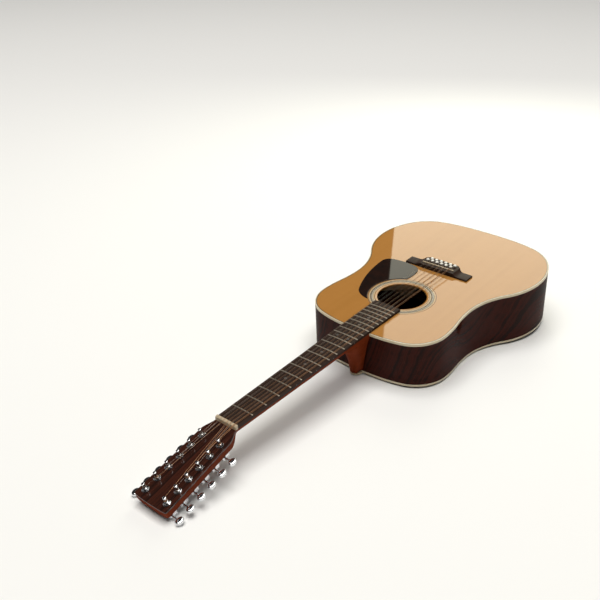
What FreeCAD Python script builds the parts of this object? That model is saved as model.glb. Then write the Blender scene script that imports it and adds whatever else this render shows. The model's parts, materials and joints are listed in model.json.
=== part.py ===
import FreeCAD, Part
import math
import os

# Twelve-string flat-top acoustic guitar, in millimetres. It is drawn in a bench frame: +X is the
# treble side, +Y runs from the tail to the head, and z = 0 is the soundboard's top face.
# laid_on_back() then turns every finished piece into the frame of the whole part.

# Body
BODY_LENGTH = 508.0
LOWER_BOUT = 400.0
WAIST = 281.0
UPPER_BOUT = 300.0
TAIL_DEPTH = 124.0
NECK_END_DEPTH = 98.0
BACK_RADIUS = 4570.0
SOUNDBOARD_THICKNESS = 2.9
BACK_THICKNESS = 2.8
RIB_THICKNESS = 2.0
BINDING_WIDTH = 2.0
BINDING_HEIGHT = 5.0
PURFLING_LINES = (0.4, 0.8, 0.4)
LINING_WIDTH = 6.0
LINING_HEIGHT = 14.0
LINING_FOOT = 1.5
NECK_BLOCK = (90.0, 60.0)
TAIL_BLOCK = (84.0, 22.0)
END_GRAFT_WIDTH = 14.0
BACK_STRIP_WIDTH = 6.0

# Stations of the outline along the body, as shares of its length from the tail
LOWER_BOUT_STATION = 0.268
WAIST_STATION = 0.634
UPPER_BOUT_STATION = 0.835

# Soundhole and rosette
SOUNDHOLE_RADIUS = 50.8
SOUNDHOLE_TO_NECK_END = 154.0
ROSETTE_DEPTH = 1.2
PICKGUARD_THICKNESS = 1.3
PICKGUARD_GAP_TO_BRIDGE = 1.7
ROSETTE_BANDS = ((55.6, 56.4), (57.0, 59.7), (59.7, 65.8), (65.8, 68.0), (69.5, 70.5))

# Neck and fretboard
SCALE_LENGTH = 645.2
BODY_FRET = 14
FRET_COUNT = 20
NUT_WIDTH = 47.6
TWELFTH_FRET_WIDTH = 57.2
FRETBOARD_THICKNESS = 6.4
FRETBOARD_RADIUS = 400.0
FRETBOARD_PAST_LAST_FRET = 19.0
FRET_HEIGHT = 1.1
FRET_WIDTH = 2.4
FRET_TANG = (0.6, 2.2)
MARKER_RADIUS = 3.0
SIDE_MARKER_RADIUS = 1.1
MARKER_DEPTH = 1.5
NECK_DEPTH_AT_NUT = 15.5
NECK_DEPTH_AT_BODY = 18.5
NECK_ROOT_IN_BODY = 12.0
NECK_INTO_HEAD = 4.0
HEEL_CAP_WIDTH = 26.0
HEEL_CAP_REACH = 17.0
HEEL_CAP_THICKNESS = 2.5
TENON = (22.0, 20.0, 78.0)

# The heel's sections: depth as a share of the heel, width between cap and top, and reach ahead
HEEL_SECTIONS = ((0.02, 1.0, 80.0), (0.19, 0.83, 52.0), (0.42, 0.56, 32.0), (0.7, 0.26, 21.0),
                 (1.0, 0.0, HEEL_CAP_REACH))

# Truss rod
ROD_SECTION = (6.0, 10.5)
ROD_BAR_RADIUS = 2.5
ROD_NUT_RADIUS = 4.5
ROD_NUT_LENGTH = 14.0
NUT_LENGTH = 5.5
ROD_NUT_THREAD = 8.0
HEX_SOCKET = (5.0, 5.0)
ROD_STOP_BEFORE_NUT = 14.0
ROD_CHANNEL_START = 3.0
RUNNING_CLEARANCE = 0.05
HOLE_CLEARANCE = 0.1

# Head
HEAD_ANGLE = 13.3
HEAD_LENGTH = 181.0
HEAD_SHOULDER_WIDTH = 66.0
HEAD_TIP_WIDTH = 76.0
HEAD_THICKNESS = 15.5
OVERLAY_THICKNESS = 2.0
HEAD_FLARE_END = 20.0
HEAD_KNEE = 27.0
HEAD_CORNER = 6.0

# Bridge, saddle and pins
BRIDGE_LENGTH = 152.0
BRIDGE_HEIGHT = 9.0
BRIDGE_WING_HEIGHT = 3.8
BRIDGE_AHEAD_OF_SADDLE = 10.5
BRIDGE_WING_BEHIND_SADDLE = 15.5
BRIDGE_BELLY_BEHIND_SADDLE = 28.0
BRIDGE_BELLY_HALF = 33.0
SADDLE_COMPENSATION = 3.0
SADDLE_LENGTH = 76.0
SADDLE_THICKNESS = 3.0
SADDLE_ABOVE_BRIDGE = 2.2
SADDLE_SLOT_DEPTH = 5.0
SADDLE_SLANT = 1.13
PLATE_SIZE = (138.0, 46.0, 2.5)
PIN_ROWS_BEHIND_SADDLE = (9.5, 18.0)
PIN_SIDESTEP = (3.0, -2.6)
PIN_HEAD_RADIUS = 3.7
PIN_HEAD_LIFT = 2.2
PIN_HEAD_HEIGHT = 3.2
PIN_SHANK_RADII = (2.6, 2.2)
PIN_LENGTH = 24.0
PIN_FLUTE_RADIUS = 0.8

# Strings: course radii from bass to treble, the octave or unison string first
STRING_DIAMETERS = ((0.69, 1.19), (0.46, 0.99), (0.30, 0.76), (0.20, 0.58), (0.36, 0.36), (0.25, 0.25))
WOUND_FROM_DIAMETER = 0.5
SADDLE_SPREAD = 57.2
SADDLE_PAIR_GAP = 2.8
NUT_SPREAD = 37.0
NUT_PAIR_GAP = 2.0
STRING_HEIGHT_AT_NUT = 8.3
STRING_ABOVE_NUT_SLOT = 0.12
STRING_GAP_TO_POST = 0.3
BALL_RADIUS = 1.5

# Tuning machines
TUNERS_PER_SIDE = 6
FIRST_POST_FROM_NUT = 36.7
POST_PITCH = 25.6
FIRST_POST_HALF_SPREAD = 21.3
LAST_POST_HALF_SPREAD = 25.2
POST_RADIUS = 3.0
POST_WAIST_RADIUS = 2.5
POST_TOP = 15.4
POST_HOLE_RADIUS = 0.9
POST_CROWN_FILLET = 0.9
COIL_HEIGHTS = (4.2, 8.4)
COIL_LENGTH = 2.0
BUSHING_RADIUS = 4.25
BUSHING_HEX = 10.0
WASHER_RADIUS = 6.5
WASHER_THICKNESS = 1.0
HEX_HEIGHT = 2.0
HOUSING_INNER = 8.0
HOUSING_OUTER = 9.5
HOUSING_BEFORE = 6.2
HOUSING_BEYOND = 10.8
HOUSING_DEPTH = 7.7
HOUSING_WALL = 2.0
HOUSING_CORNER = 2.0
EAR_SIZE = (8.0, 6.0, 2.5)
EAR_SCREW_RADIUS = 1.25
EAR_SCREW_LENGTH = 8.0
EAR_SCREW_HEAD = (2.2, 1.5)
SCREW_SLOT_WIDTH = 0.6
COVER_THICKNESS = 1.8
GEAR_TEETH = 14
GEAR_FACE = 3.0
GEAR_RADII = (3.3, 4.25)
GEAR_SEAT_RADIUS = 1.8
GEAR_SCREW_HEAD = (2.4, 0.9)
GEAR_SCREW_SHANK = (0.7, 2.5)
TOOTH_THICKNESS = (0.9, 0.35)
WORM_PITCH = 1.728
WORM_RADII = (1.5, 2.45)
WORM_TURNS = 3.25
WORM_OFFSET = 5.85
SHAFT_RADIUS = 2.0
SHAFT_COLLAR = 0.9
SHAFT_BEARING = 2.5
BUTTON_SCREW_HEAD = (1.9, 1.2)
BUTTON_SCREW_RADIUS = 0.8
BUTTON_SIZE = (12.0, 16.0, 7.0)
BUTTON_GAP_TO_HEAD = 8.0

# End pin, and the height range of the construction prisms
PLAN_TOP = 40.0
PLAN_BOTTOM = -260.0
END_PIN_REACH = 12.0
END_PIN_SHANK = (4.0, 3.6, 26.0)

# Braces: width and height of each kind, with the X crossing measured from the soundhole's edge
X_BRACE = (8.0, 15.0)
X_CROSSING_FROM_HOLE = 30.0
X_HALF_ANGLE = 49.0
TONE_BAR = (7.0, 12.0)
FINGER_BRACE = (6.0, 8.0)

# Ends of the tone bars and of one side's finger braces: x, and how far behind the X crossing
TONE_BARS = (((-106.0, 105.0), (92.0, 177.0)), ((-128.0, 157.0), (52.0, 223.0)))
FINGER_BRACES = (((98.0, 59.0), (172.0, 77.0)), ((124.0, 91.0), (190.0, 113.0)))
HOLE_BRACE_GAP = 4.0
HOLE_BRACE_SPAN = (-14.0, 46.0)
X_PAST_HOLE = 46.0
X_END_STATION = 0.2
CROSS_BRACE_FROM_HOLE = 15.0
HOLE_BRACE = (10.0, 5.0)
CROSS_BRACE = (12.0, 14.0)
BACK_BRACES = ((0.15, 16.0, 11.0), (0.345, 16.0, 11.0), (0.57, 8.0, 16.0), (0.78, 8.0, 16.0))
WRENCH_HOLE_RADIUS = 4.0

NUT_Y = BODY_LENGTH + SCALE_LENGTH * (1.0 - 2.0 ** (-BODY_FRET / 12.0))
SADDLE_Y = NUT_Y - SCALE_LENGTH - SADDLE_COMPENSATION
HOLE_Y = BODY_LENGTH - SOUNDHOLE_TO_NECK_END
BOARD_END_Y = NUT_Y - SCALE_LENGTH * (1.0 - 2.0 ** (-FRET_COUNT / 12.0)) - FRETBOARD_PAST_LAST_FRET
PURFLING_WIDTH = sum(PURFLING_LINES)
SOUNDBOARD_INSET = BINDING_WIDTH + PURFLING_WIDTH
LINING_INSET = RIB_THICKNESS + LINING_WIDTH
SADDLE_TOP = BRIDGE_HEIGHT + SADDLE_ABOVE_BRIDGE
HEAD_ROOT_Y = NUT_Y + NUT_LENGTH
HOUSING_BACK = -HEAD_THICKNESS - HOUSING_DEPTH
COVER_BACK = HOUSING_BACK - COVER_THICKNESS
WORM_Z = -HEAD_THICKNESS - HOUSING_WALL - 2.7
ROD_Z = ROD_BAR_RADIUS - ROD_SECTION[1]
X_CROSSING_Y = HOLE_Y - SOUNDHOLE_RADIUS - X_CROSSING_FROM_HOLE
PLATE_BOTTOM = -SOUNDBOARD_THICKNESS - PLATE_SIZE[2]


def vec(x, y, z=0.0):
    return FreeCAD.Vector(x, y, z)


def box(x0, x1, y0, y1, z0, z1):
    return Part.makeBox(x1 - x0, y1 - y0, z1 - z0, vec(x0, y0, z0))


def rod(radius, start, end):
    return Part.makeCylinder(radius, (end - start).Length, start, end - start)


def prism(points, thickness):
    """A polygon's prism; thickness is the vector it is pushed along."""
    return Part.Face(Part.makePolygon(points + points[:1])).extrude(thickness)


def joined(shapes):
    whole = shapes[0].multiFuse(shapes[1:]) if len(shapes) > 1 else shapes[0]
    return whole.removeSplitter()


def mirrored(shape):
    return shape.mirror(vec(0, 0), vec(1, 0))


def placed(shape, matrix):
    copy = shape.copy()
    copy.Placement = FreeCAD.Placement(matrix).multiply(copy.Placement)
    return copy


# ---------------------------------------------------------------- outline and dome

def arc_pair(start, start_heading, end, end_heading):
    """Two tangent arcs between two points with set headings, as (centre, radius, angle, sweep)."""
    t0 = vec(math.cos(start_heading), math.sin(start_heading))
    t1 = vec(math.cos(end_heading), math.sin(end_heading))
    chord, both = end - start, t0 + t1
    spread = 2.0 * (1.0 - t0.dot(t1))
    if spread < 1e-9:
        reach = chord.dot(chord) / (4.0 * chord.dot(t1))
    else:
        along = chord.dot(both)
        reach = (math.sqrt(along * along + spread * chord.dot(chord)) - along) / spread
    near, far = start + t0 * reach, end - t1 * reach
    meet = (near + far) * 0.5
    arcs = []
    for point, tangent, target in ((start, t0, meet), (meet, (far - near).normalize(), end)):
        normal = vec(-tangent.y, tangent.x)
        step = target - point
        radius = step.dot(step) / (2.0 * normal.dot(step))
        centre = point + normal * radius
        sweep = 2.0 * math.atan2(normal.dot(step), tangent.dot(step))
        arcs.append((centre, radius, math.atan2(point.y - centre.y, point.x - centre.x), sweep))
    return arcs


def outline_arcs():
    """The treble half of the body's outline, from the tail to the neck end."""
    stations = (
        (0.0, 0.0, 0.0),
        (0.56 * LOWER_BOUT / 2, 0.02 * BODY_LENGTH, 13.0),
        (LOWER_BOUT / 2, LOWER_BOUT_STATION * BODY_LENGTH, 90.0),
        (WAIST / 2, WAIST_STATION * BODY_LENGTH, 90.0),
        (UPPER_BOUT / 2, UPPER_BOUT_STATION * BODY_LENGTH, 90.0),
        (0.65 * UPPER_BOUT / 2, BODY_LENGTH - 11.0, 164.0),
        (0.0, BODY_LENGTH, 180.0),
    )
    arcs = []
    for (x0, y0, a0), (x1, y1, a1) in zip(stations, stations[1:]):
        arcs += arc_pair(vec(x0, y0), math.radians(a0), vec(x1, y1), math.radians(a1))
    return arcs


OUTLINE = outline_arcs()


def outline_wire(inset, z):
    """The body's outline moved inwards by inset; a positive radius turns towards the inside."""
    edges = []
    for side in (1, -1):
        for centre, radius, angle, sweep in OUTLINE:
            size = abs(radius) - inset * math.copysign(1.0, radius)
            marks = []
            for share in (0.0, 0.5, 1.0):
                turn = angle + sweep * share
                x = centre.x + size * math.cos(turn)
                marks.append(vec(side * (0.0 if abs(x) < 1e-7 else x), centre.y + size * math.sin(turn), z))
            edges.append(Part.Arc(*marks).toShape())
    return Part.Wire(Part.__sortEdges__(edges))


def plan_prism(inset, z0=PLAN_BOTTOM, z1=PLAN_TOP):
    return Part.Face(outline_wire(inset, z0)).extrude(vec(0, 0, z1 - z0))


def wall(inset, width, z0=PLAN_BOTTOM, z1=PLAN_TOP):
    return plan_prism(inset, z0, z1).cut(plan_prism(inset + width, z0, z1))


def dome_centre():
    half_chord = math.hypot(BODY_LENGTH, TAIL_DEPTH - NECK_END_DEPTH) / 2
    rise = math.sqrt(BACK_RADIUS ** 2 - half_chord ** 2)
    lean = math.atan2(TAIL_DEPTH - NECK_END_DEPTH, BODY_LENGTH)
    middle = vec(0, BODY_LENGTH / 2, -(TAIL_DEPTH + NECK_END_DEPTH) / 2)
    return middle + vec(0, -math.sin(lean), math.cos(lean)) * rise


DOME_CENTRE = dome_centre()


def dome(depth=0.0):
    """The ball whose lowest cap is the back, at a depth into the wood."""
    ball = Part.makeSphere(BACK_RADIUS - depth)
    ball.rotate(vec(0, 0), vec(1, 0), 90)
    ball.translate(DOME_CENTRE)
    return ball


# ---------------------------------------------------------------- frames of the head and of rest

def head_matrix():
    """Head frame: x across, y along the head from the nut, z out of its face."""
    turn = FreeCAD.Rotation(vec(1, 0), -HEAD_ANGLE)
    return FreeCAD.Placement(vec(0, HEAD_ROOT_Y), turn).toMatrix()


HEAD = head_matrix()


def post_half_spread(index):
    share = index / (TUNERS_PER_SIDE - 1)
    return FIRST_POST_HALF_SPREAD + (LAST_POST_HALF_SPREAD - FIRST_POST_HALF_SPREAD) * share


def post_along(index):
    return FIRST_POST_FROM_NUT + POST_PITCH * index


def head_half_width(along):
    share = along / HEAD_LENGTH
    return (HEAD_SHOULDER_WIDTH + (HEAD_TIP_WIDTH - HEAD_SHOULDER_WIDTH) * share) / 2


def rest_placement():
    """Lay the guitar on the line that touches its back and its last tuner covers.

    The origin is then under the middle of the whole guitar, which reaches from the end pin's
    crown to the head's upper edge.
    """
    cover_edge = post_along(TUNERS_PER_SIDE - 1) + HOUSING_BEYOND
    support = HEAD.multVec(vec(0, cover_edge, COVER_BACK))
    to_centre = DOME_CENTRE - support
    lean = math.atan2(to_centre.z, to_centre.y) + math.asin(BACK_RADIUS / to_centre.Length) - math.pi
    turn = FreeCAD.Rotation(vec(1, 0), -math.degrees(lean))
    low = turn.multVec(support).z
    tip = turn.multVec(HEAD.multVec(vec(0, HEAD_LENGTH))).y
    tail = turn.multVec(vec(0, -END_PIN_REACH, -TAIL_DEPTH / 2)).y
    return FreeCAD.Placement(vec(0, -(tip + tail) / 2, -low), turn)


# ---------------------------------------------------------------- body

def soundhole(z0, z1):
    return rod(SOUNDHOLE_RADIUS, vec(0, HOLE_Y, z0), vec(0, HOLE_Y, z1))


def rosette_rings():
    rings = []
    for inner, outer in ROSETTE_BANDS:
        low, high = vec(0, HOLE_Y, -ROSETTE_DEPTH), vec(0, HOLE_Y)
        rings.append(rod(outer, low, high).cut(rod(inner, low, high)))
    return rings


def tenon():
    width, depth, height = TENON
    return box(-width / 2, width / 2, BODY_LENGTH - depth, BODY_LENGTH + 1.0,
               -BINDING_HEIGHT - height, -BINDING_HEIGHT)


def end_pin():
    r0, r1, length = END_PIN_SHANK
    reach = END_PIN_REACH
    profile = [vec(0, length), vec(r1, length), vec(r0, 0), vec(6.5, 0), vec(6.5, -1.5), vec(4.5, -2.5),
               vec(4.5, -0.62 * reach), vec(7.5, -0.74 * reach), vec(7.5, -0.9 * reach), vec(5.5, -reach),
               vec(0, -reach)]
    pin = Part.Face(Part.makePolygon(profile + profile[:1])).revolve(vec(0, 0), vec(0, 1), 360)
    pin.translate(vec(0, 0, -TAIL_DEPTH / 2))
    return pin


def end_pin_hole():
    """The tapered hole for the end pin's shank, carried on through the face of the tail."""
    r0, r1, length = END_PIN_SHANK
    over = 3.0
    mouth = r0 + (r0 - r1) * over / length
    return Part.makeCone(mouth, r1, length + over, vec(0, -over, -TAIL_DEPTH / 2), vec(0, 1))


def blocks():
    width, depth = NECK_BLOCK
    inner = plan_prism(RIB_THICKNESS, PLAN_BOTTOM, -SOUNDBOARD_THICKNESS).common(dome(BACK_THICKNESS))
    neck_end = box(-width / 2, width / 2, BODY_LENGTH - depth, BODY_LENGTH, PLAN_BOTTOM, PLAN_TOP)
    width, depth = TAIL_BLOCK
    tail_end = box(-width / 2, width / 2, 0, depth, PLAN_BOTTOM, PLAN_TOP)
    return inner.common(neck_end), inner.common(tail_end)


def body_parts():
    """Soundboard, back, ribs, bindings, linings and end blocks."""
    graft_slot = box(-END_GRAFT_WIDTH / 2, END_GRAFT_WIDTH / 2, -5, 20, PLAN_BOTTOM, PLAN_TOP)
    hoop = wall(0, RIB_THICKNESS, PLAN_BOTTOM, -BINDING_HEIGHT).common(dome(BINDING_HEIGHT))
    ribs = hoop.cut(graft_slot).cut(tenon())
    treble_side = box(0, LOWER_BOUT, -20, BODY_LENGTH + 20, PLAN_BOTTOM, PLAN_TOP)
    neck_block, tail_block = blocks()
    wood_inset = BINDING_WIDTH
    plates = plan_prism(wood_inset).common(dome()).cut(dome(BACK_THICKNESS))
    plates = plates.common(box(-LOWER_BOUT, LOWER_BOUT, -20, BODY_LENGTH + 20, PLAN_BOTTOM, 0))
    strip = box(-BACK_STRIP_WIDTH / 2, BACK_STRIP_WIDTH / 2, -20, BODY_LENGTH + 20, PLAN_BOTTOM, PLAN_TOP)
    below = plan_prism(0, PLAN_BOTTOM, -NECK_END_DEPTH / 2)
    edge = below.cut(plan_prism(BINDING_WIDTH)).common(dome()).cut(dome(BINDING_HEIGHT))
    return {
        "rib_treble": ribs.common(treble_side),
        "rib_bass": ribs.cut(treble_side),
        "end_graft": hoop.common(graft_slot).cut(end_pin_hole()),
        "top_binding": wall(0, BINDING_WIDTH, -BINDING_HEIGHT, 0),
        "back_binding": edge,
        "back_plates": plates.cut(strip),
        "back_strip": plates.common(strip),
        "neck_block": neck_block.cut(tenon()).cut(rod_bar(HOLE_CLEARANCE)),
        "tail_block": tail_block.cut(end_pin_hole()),
        "linings": linings(neck_block, tail_block),
        "end_pin": end_pin(),
    }


def purfling():
    lines, inset = [], BINDING_WIDTH
    for width in PURFLING_LINES:
        lines.append(wall(inset, width, -SOUNDBOARD_THICKNESS, 0))
        inset += width
    return Part.makeCompound(lines)


def linings(neck_block, tail_block):
    """Triangular strips that widen the glue seam between the ribs and both plates."""
    top = -SOUNDBOARD_THICKNESS
    low = top - LINING_HEIGHT
    rims = [outline_wire(LINING_INSET, top), outline_wire(RIB_THICKNESS + LINING_FOOT, low)]
    taper = Part.makeLoft(rims, True, True)
    upper = plan_prism(RIB_THICKNESS, low, top).cut(taper)
    upper = upper.cut(plan_prism(0, -BINDING_HEIGHT, top).cut(plan_prism(BINDING_WIDTH)))
    lower = wall(RIB_THICKNESS, LINING_WIDTH, PLAN_BOTTOM, -NECK_END_DEPTH / 2)
    lower = lower.common(dome(BACK_THICKNESS)).cut(dome(BACK_THICKNESS + LINING_HEIGHT))
    strips = [solid.cut(neck_block).cut(tail_block) for solid in (upper, lower)]
    return Part.makeCompound(strips)


def soundboard():
    board = plan_prism(SOUNDBOARD_INSET, -SOUNDBOARD_THICKNESS, 0)
    return board.cut([soundhole(-20, 20)] + rosette_rings() + pin_holes())


# ---------------------------------------------------------------- braces

def brace(start, end, size, tip=2.5, taper=45.0):
    """A bar glued under the soundboard, thinned towards both ends."""
    width, height = size
    run = end - start
    length = run.Length
    taper = min(taper, length / 3)
    face = -width / 2
    side = [vec(0, face, 0), vec(length, face, 0), vec(length, face, -tip),
            vec(length - taper, face, -height), vec(taper, face, -height), vec(0, face, -tip)]
    bar = prism(side, vec(0, width, 0))
    bar.rotate(vec(0, 0), vec(0, 0, 1), math.degrees(math.atan2(run.y, run.x)))
    bar.translate(vec(start.x, start.y, -SOUNDBOARD_THICKNESS))
    return bar


def x_leg_x(y, side=1):
    """Where the leg that reaches the given side of the lower bout crosses a line across the body."""
    return side * (X_CROSSING_Y - y) * math.tan(math.radians(X_HALF_ANGLE))


def x_braces():
    legs = []
    upper_y, lower_y = HOLE_Y + X_PAST_HOLE, X_END_STATION * BODY_LENGTH
    for side in (1, -1):
        lower, upper = (vec(x_leg_x(y, side), y) for y in (lower_y, upper_y))
        legs.append(brace(lower, upper, X_BRACE))
    half = -SOUNDBOARD_THICKNESS - X_BRACE[1] / 2
    reach = LOWER_BOUT
    above = box(-reach, reach, 0, BODY_LENGTH, half, PLAN_TOP)
    below = box(-reach, reach, 0, BODY_LENGTH, PLAN_BOTTOM, half)
    return [legs[0].cut(legs[1].common(below)), legs[1].cut(legs[0].common(above))]


def behind_crossing(ends, side, size):
    """A brace between two points behind the X crossing."""
    start, end = (vec(side * x, X_CROSSING_Y - behind) for x, behind in ends)
    return brace(start, end, size)


def top_braces():
    """X legs, two tone bars, four finger braces, two soundhole braces and the cross brace."""
    x_legs = x_braces()
    bars = [behind_crossing(ends, 1, TONE_BAR) for ends in TONE_BARS]
    for side in (1, -1):
        bars += [behind_crossing(ends, side, FINGER_BRACE) for ends in FINGER_BRACES]
        x = side * (SOUNDHOLE_RADIUS + HOLE_BRACE_GAP + HOLE_BRACE[0] / 2)
        near, far = (vec(x, HOLE_Y + reach) for reach in HOLE_BRACE_SPAN)
        bars.append(brace(near, far, HOLE_BRACE))
    cross_y = HOLE_Y + SOUNDHOLE_RADIUS + CROSS_BRACE_FROM_HOLE
    cross = brace(vec(-UPPER_BOUT / 2, cross_y), vec(UPPER_BOUT / 2, cross_y), CROSS_BRACE, tip=5.0)
    cross = cross.cut(rod(WRENCH_HOLE_RADIUS, vec(0, cross_y - 20, ROD_Z), vec(0, cross_y + 20, ROD_Z)))
    keep = plan_prism(LINING_INSET)
    loose = [bar.cut(x_legs) for bar in bars] + [cross]
    return Part.makeCompound([bar.common(keep) for bar in x_legs + loose])


def back_braces():
    inside = plan_prism(LINING_INSET, PLAN_BOTTOM, 0).common(dome(BACK_THICKNESS))
    bars = []
    for station, width, height in BACK_BRACES:
        y = station * BODY_LENGTH
        bar = box(-LOWER_BOUT, LOWER_BOUT, y - width / 2, y + width / 2, PLAN_BOTTOM, 0)
        bars.append(bar.common(inside).cut(dome(BACK_THICKNESS + height)))
    return Part.makeCompound(bars)


def bridge_plate():
    """A hardwood plate between the X legs, which the ball ends of the strings pull against."""
    width, depth, thickness = PLATE_SIZE
    front = SADDLE_Y + BRIDGE_AHEAD_OF_SADDLE
    back = front - depth
    leg = X_BRACE[0] / 2 / math.cos(math.radians(X_HALF_ANGLE)) + 1.0
    half_front = min(width / 2, x_leg_x(front) - leg)
    half_back = min(width / 2, x_leg_x(back) - leg)
    z = -SOUNDBOARD_THICKNESS
    plan = [vec(-half_back, back, z), vec(half_back, back, z),
            vec(half_front, front, z), vec(-half_front, front, z)]
    return prism(plan, vec(0, 0, -thickness)).cut(pin_holes())


# ---------------------------------------------------------------- bridge

def saddle_y(x):
    return SADDLE_Y + x * math.tan(math.radians(SADDLE_SLANT))


def saddle():
    """The bone saddle: a narrow crest that falls away behind, under the strings' break."""
    half, thick = SADDLE_LENGTH / 2, SADDLE_THICKNESS / 2
    foot, crest = BRIDGE_HEIGHT - SADDLE_SLOT_DEPTH, SADDLE_TOP
    side = [vec(-half, -thick, foot), vec(-half, thick, foot), vec(-half, thick, crest - 0.3),
            vec(-half, 0.2, crest), vec(-half, -0.2, crest), vec(-half, -thick, crest - 0.8)]
    piece = prism(side, vec(2 * half, 0, 0))
    piece.rotate(vec(0, 0), vec(0, 0, 1), SADDLE_SLANT)
    piece.translate(vec(0, SADDLE_Y))
    return piece


def bridge():
    """Belly bridge: straight ahead, a wide belly behind, and thin scooped wings."""
    half = BRIDGE_LENGTH / 2
    front = SADDLE_Y + BRIDGE_AHEAD_OF_SADDLE
    wing = SADDLE_Y - BRIDGE_WING_BEHIND_SADDLE
    belly = SADDLE_Y - BRIDGE_BELLY_BEHIND_SADDLE
    inner = BRIDGE_BELLY_HALF
    drop = wing - belly
    edges = [Part.makeLine(vec(-half, front), vec(half, front)),
             Part.Arc(vec(-inner, belly + 1), vec(0, belly), vec(inner, belly + 1)).toShape()]
    for side in (1, -1):
        edges.append(Part.makeLine(vec(side * half, front), vec(side * half, wing)))
        middle = vec(side * (inner + 9), wing - drop / 2)
        edges.append(Part.makeLine(vec(side * half, wing), vec(side * (inner + 18), wing)))
        edges.append(Part.Arc(vec(side * (inner + 18), wing), vec(side * (inner + 12.5), wing - drop / 5),
                              middle).toShape())
        edges.append(Part.Arc(middle, vec(side * (inner + 5), belly + drop / 5 + 0.8),
                              vec(side * inner, belly + 1)).toShape())
    plan = Part.Face(Part.Wire(Part.__sortEdges__(edges))).extrude(vec(0, 0, BRIDGE_HEIGHT))
    low, high = BRIDGE_WING_HEIGHT, BRIDGE_HEIGHT
    crest, foot = SADDLE_LENGTH / 2 + 4, SADDLE_LENGTH / 2 + 17
    y0 = belly - 1
    rim = [Part.makeLine(vec(-half, y0, 0), vec(half, y0, 0)),
           Part.makeLine(vec(-crest, y0, high), vec(crest, y0, high))]
    for side in (1, -1):
        dip = vec(side * (crest + foot) / 2, y0, low + 1.4)
        rim.append(Part.makeLine(vec(side * half, y0, 0), vec(side * half, y0, low)))
        rim.append(Part.makeLine(vec(side * half, y0, low), vec(side * foot, y0, low)))
        rim.append(Part.Arc(vec(side * foot, y0, low), dip, vec(side * crest, y0, high)).toShape())
    profile = Part.Face(Part.Wire(Part.__sortEdges__(rim))).extrude(vec(0, front - belly + 2, 0))
    return plan.common(profile).cut([saddle()] + pin_holes())


def pin_places():
    """Each string's pin: the octave strings use the rear row."""
    places = []
    for course in range(len(STRING_DIAMETERS)):
        centre = course_x(course, SADDLE_SPREAD)
        for slot, row in ((0, 1), (1, 0)):
            place = vec(centre + PIN_SIDESTEP[row], SADDLE_Y - PIN_ROWS_BEHIND_SADDLE[row])
            places.append((course, slot, place))
    return places


def flute_y(place):
    return place.y + PIN_SHANK_RADII[0] - 0.35


def pin_shank(place):
    top, tip = PIN_SHANK_RADII
    base = BRIDGE_HEIGHT + PIN_HEAD_LIFT
    return Part.makeCone(top, tip, PIN_LENGTH, place + vec(0, 0, base), vec(0, 0, -1))


def pin_flute(place):
    foot = vec(place.x, flute_y(place), PLAN_BOTTOM)
    return rod(PIN_FLUTE_RADIUS, foot, vec(foot.x, foot.y, BRIDGE_HEIGHT + PIN_HEAD_LIFT))


def pin_holes():
    return [cut for _, _, place in pin_places() for cut in (pin_shank(place), pin_flute(place))]


def bridge_pins():
    """Tapered pins with a head that is domed like a ball's cap, fluted for the string."""
    radius, height, (neck, tip) = PIN_HEAD_RADIUS, PIN_HEAD_HEIGHT, PIN_SHANK_RADII
    rim = 0.3 * height
    centre = (height ** 2 - radius ** 2 - rim ** 2) / (2 * (height - rim))
    ball = height - centre
    turn = math.asin(radius / ball) / 2
    cap = Part.Arc(vec(radius, 0, rim), vec(ball * math.sin(turn), 0, centre + ball * math.cos(turn)),
                   vec(0, 0, height)).toShape()
    side = Part.makePolygon([vec(0, 0, height), vec(0, 0, -PIN_LENGTH), vec(tip, 0, -PIN_LENGTH),
                             vec(neck, 0, 0), vec(0.8 * radius, 0, 0), vec(radius, 0, rim)])
    blank = Part.Face(Part.Wire(side.Edges + [cap])).revolve(vec(0, 0), vec(0, 0, 1), 360)
    pins = []
    for _, _, place in pin_places():
        pin = blank.copy()
        pin.translate(place + vec(0, 0, BRIDGE_HEIGHT + PIN_HEAD_LIFT))
        pins.append(pin.cut(pin_flute(place)))
    return Part.makeCompound(pins)


def pickguard():
    """A thin plate that follows the rosette and rounds out towards the waist."""
    radius = ROSETTE_BANDS[-1][1] + 0.5
    angles = [math.radians(angle) for angle in (-64.0, -10.0, 44.0)]
    start, mid, end = (vec(radius * math.cos(turn), HOLE_Y + radius * math.sin(turn)) for turn in angles)
    base = SADDLE_Y + BRIDGE_AHEAD_OF_SADDLE + PICKGUARD_GAP_TO_BRIDGE
    near, far = vec(88.0, HOLE_Y + 31.0), vec(121.5, base + 28.0)
    heel, toe, nose = vec(100.0, base + 3.0), vec(45.0, base + 4.0), vec(30.0, base + 26.0)
    spans = ((start, mid, end), (end, vec(71.0, HOLE_Y + 44.5), near),
             (near, vec(112.0, HOLE_Y - 32.0), far), (far, vec(116.0, base + 10.0), heel),
             (heel, vec(72.0, base), toe),
             (toe, vec(34.0, base + 13.0), nose), (nose, vec(28.5, HOLE_Y - 80.0), start))
    rim = Part.Wire([Part.Arc(*span).toShape() for span in spans])
    return Part.Face(rim).extrude(vec(0, 0, PICKGUARD_THICKNESS))


# ---------------------------------------------------------------- neck

def fret_y(number):
    return NUT_Y - SCALE_LENGTH * (1.0 - 2.0 ** (-number / 12.0))


def board_half_width(y):
    slope = (TWELFTH_FRET_WIDTH - NUT_WIDTH) / (NUT_Y - fret_y(12))
    return (NUT_WIDTH + slope * (NUT_Y - y)) / 2


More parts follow.
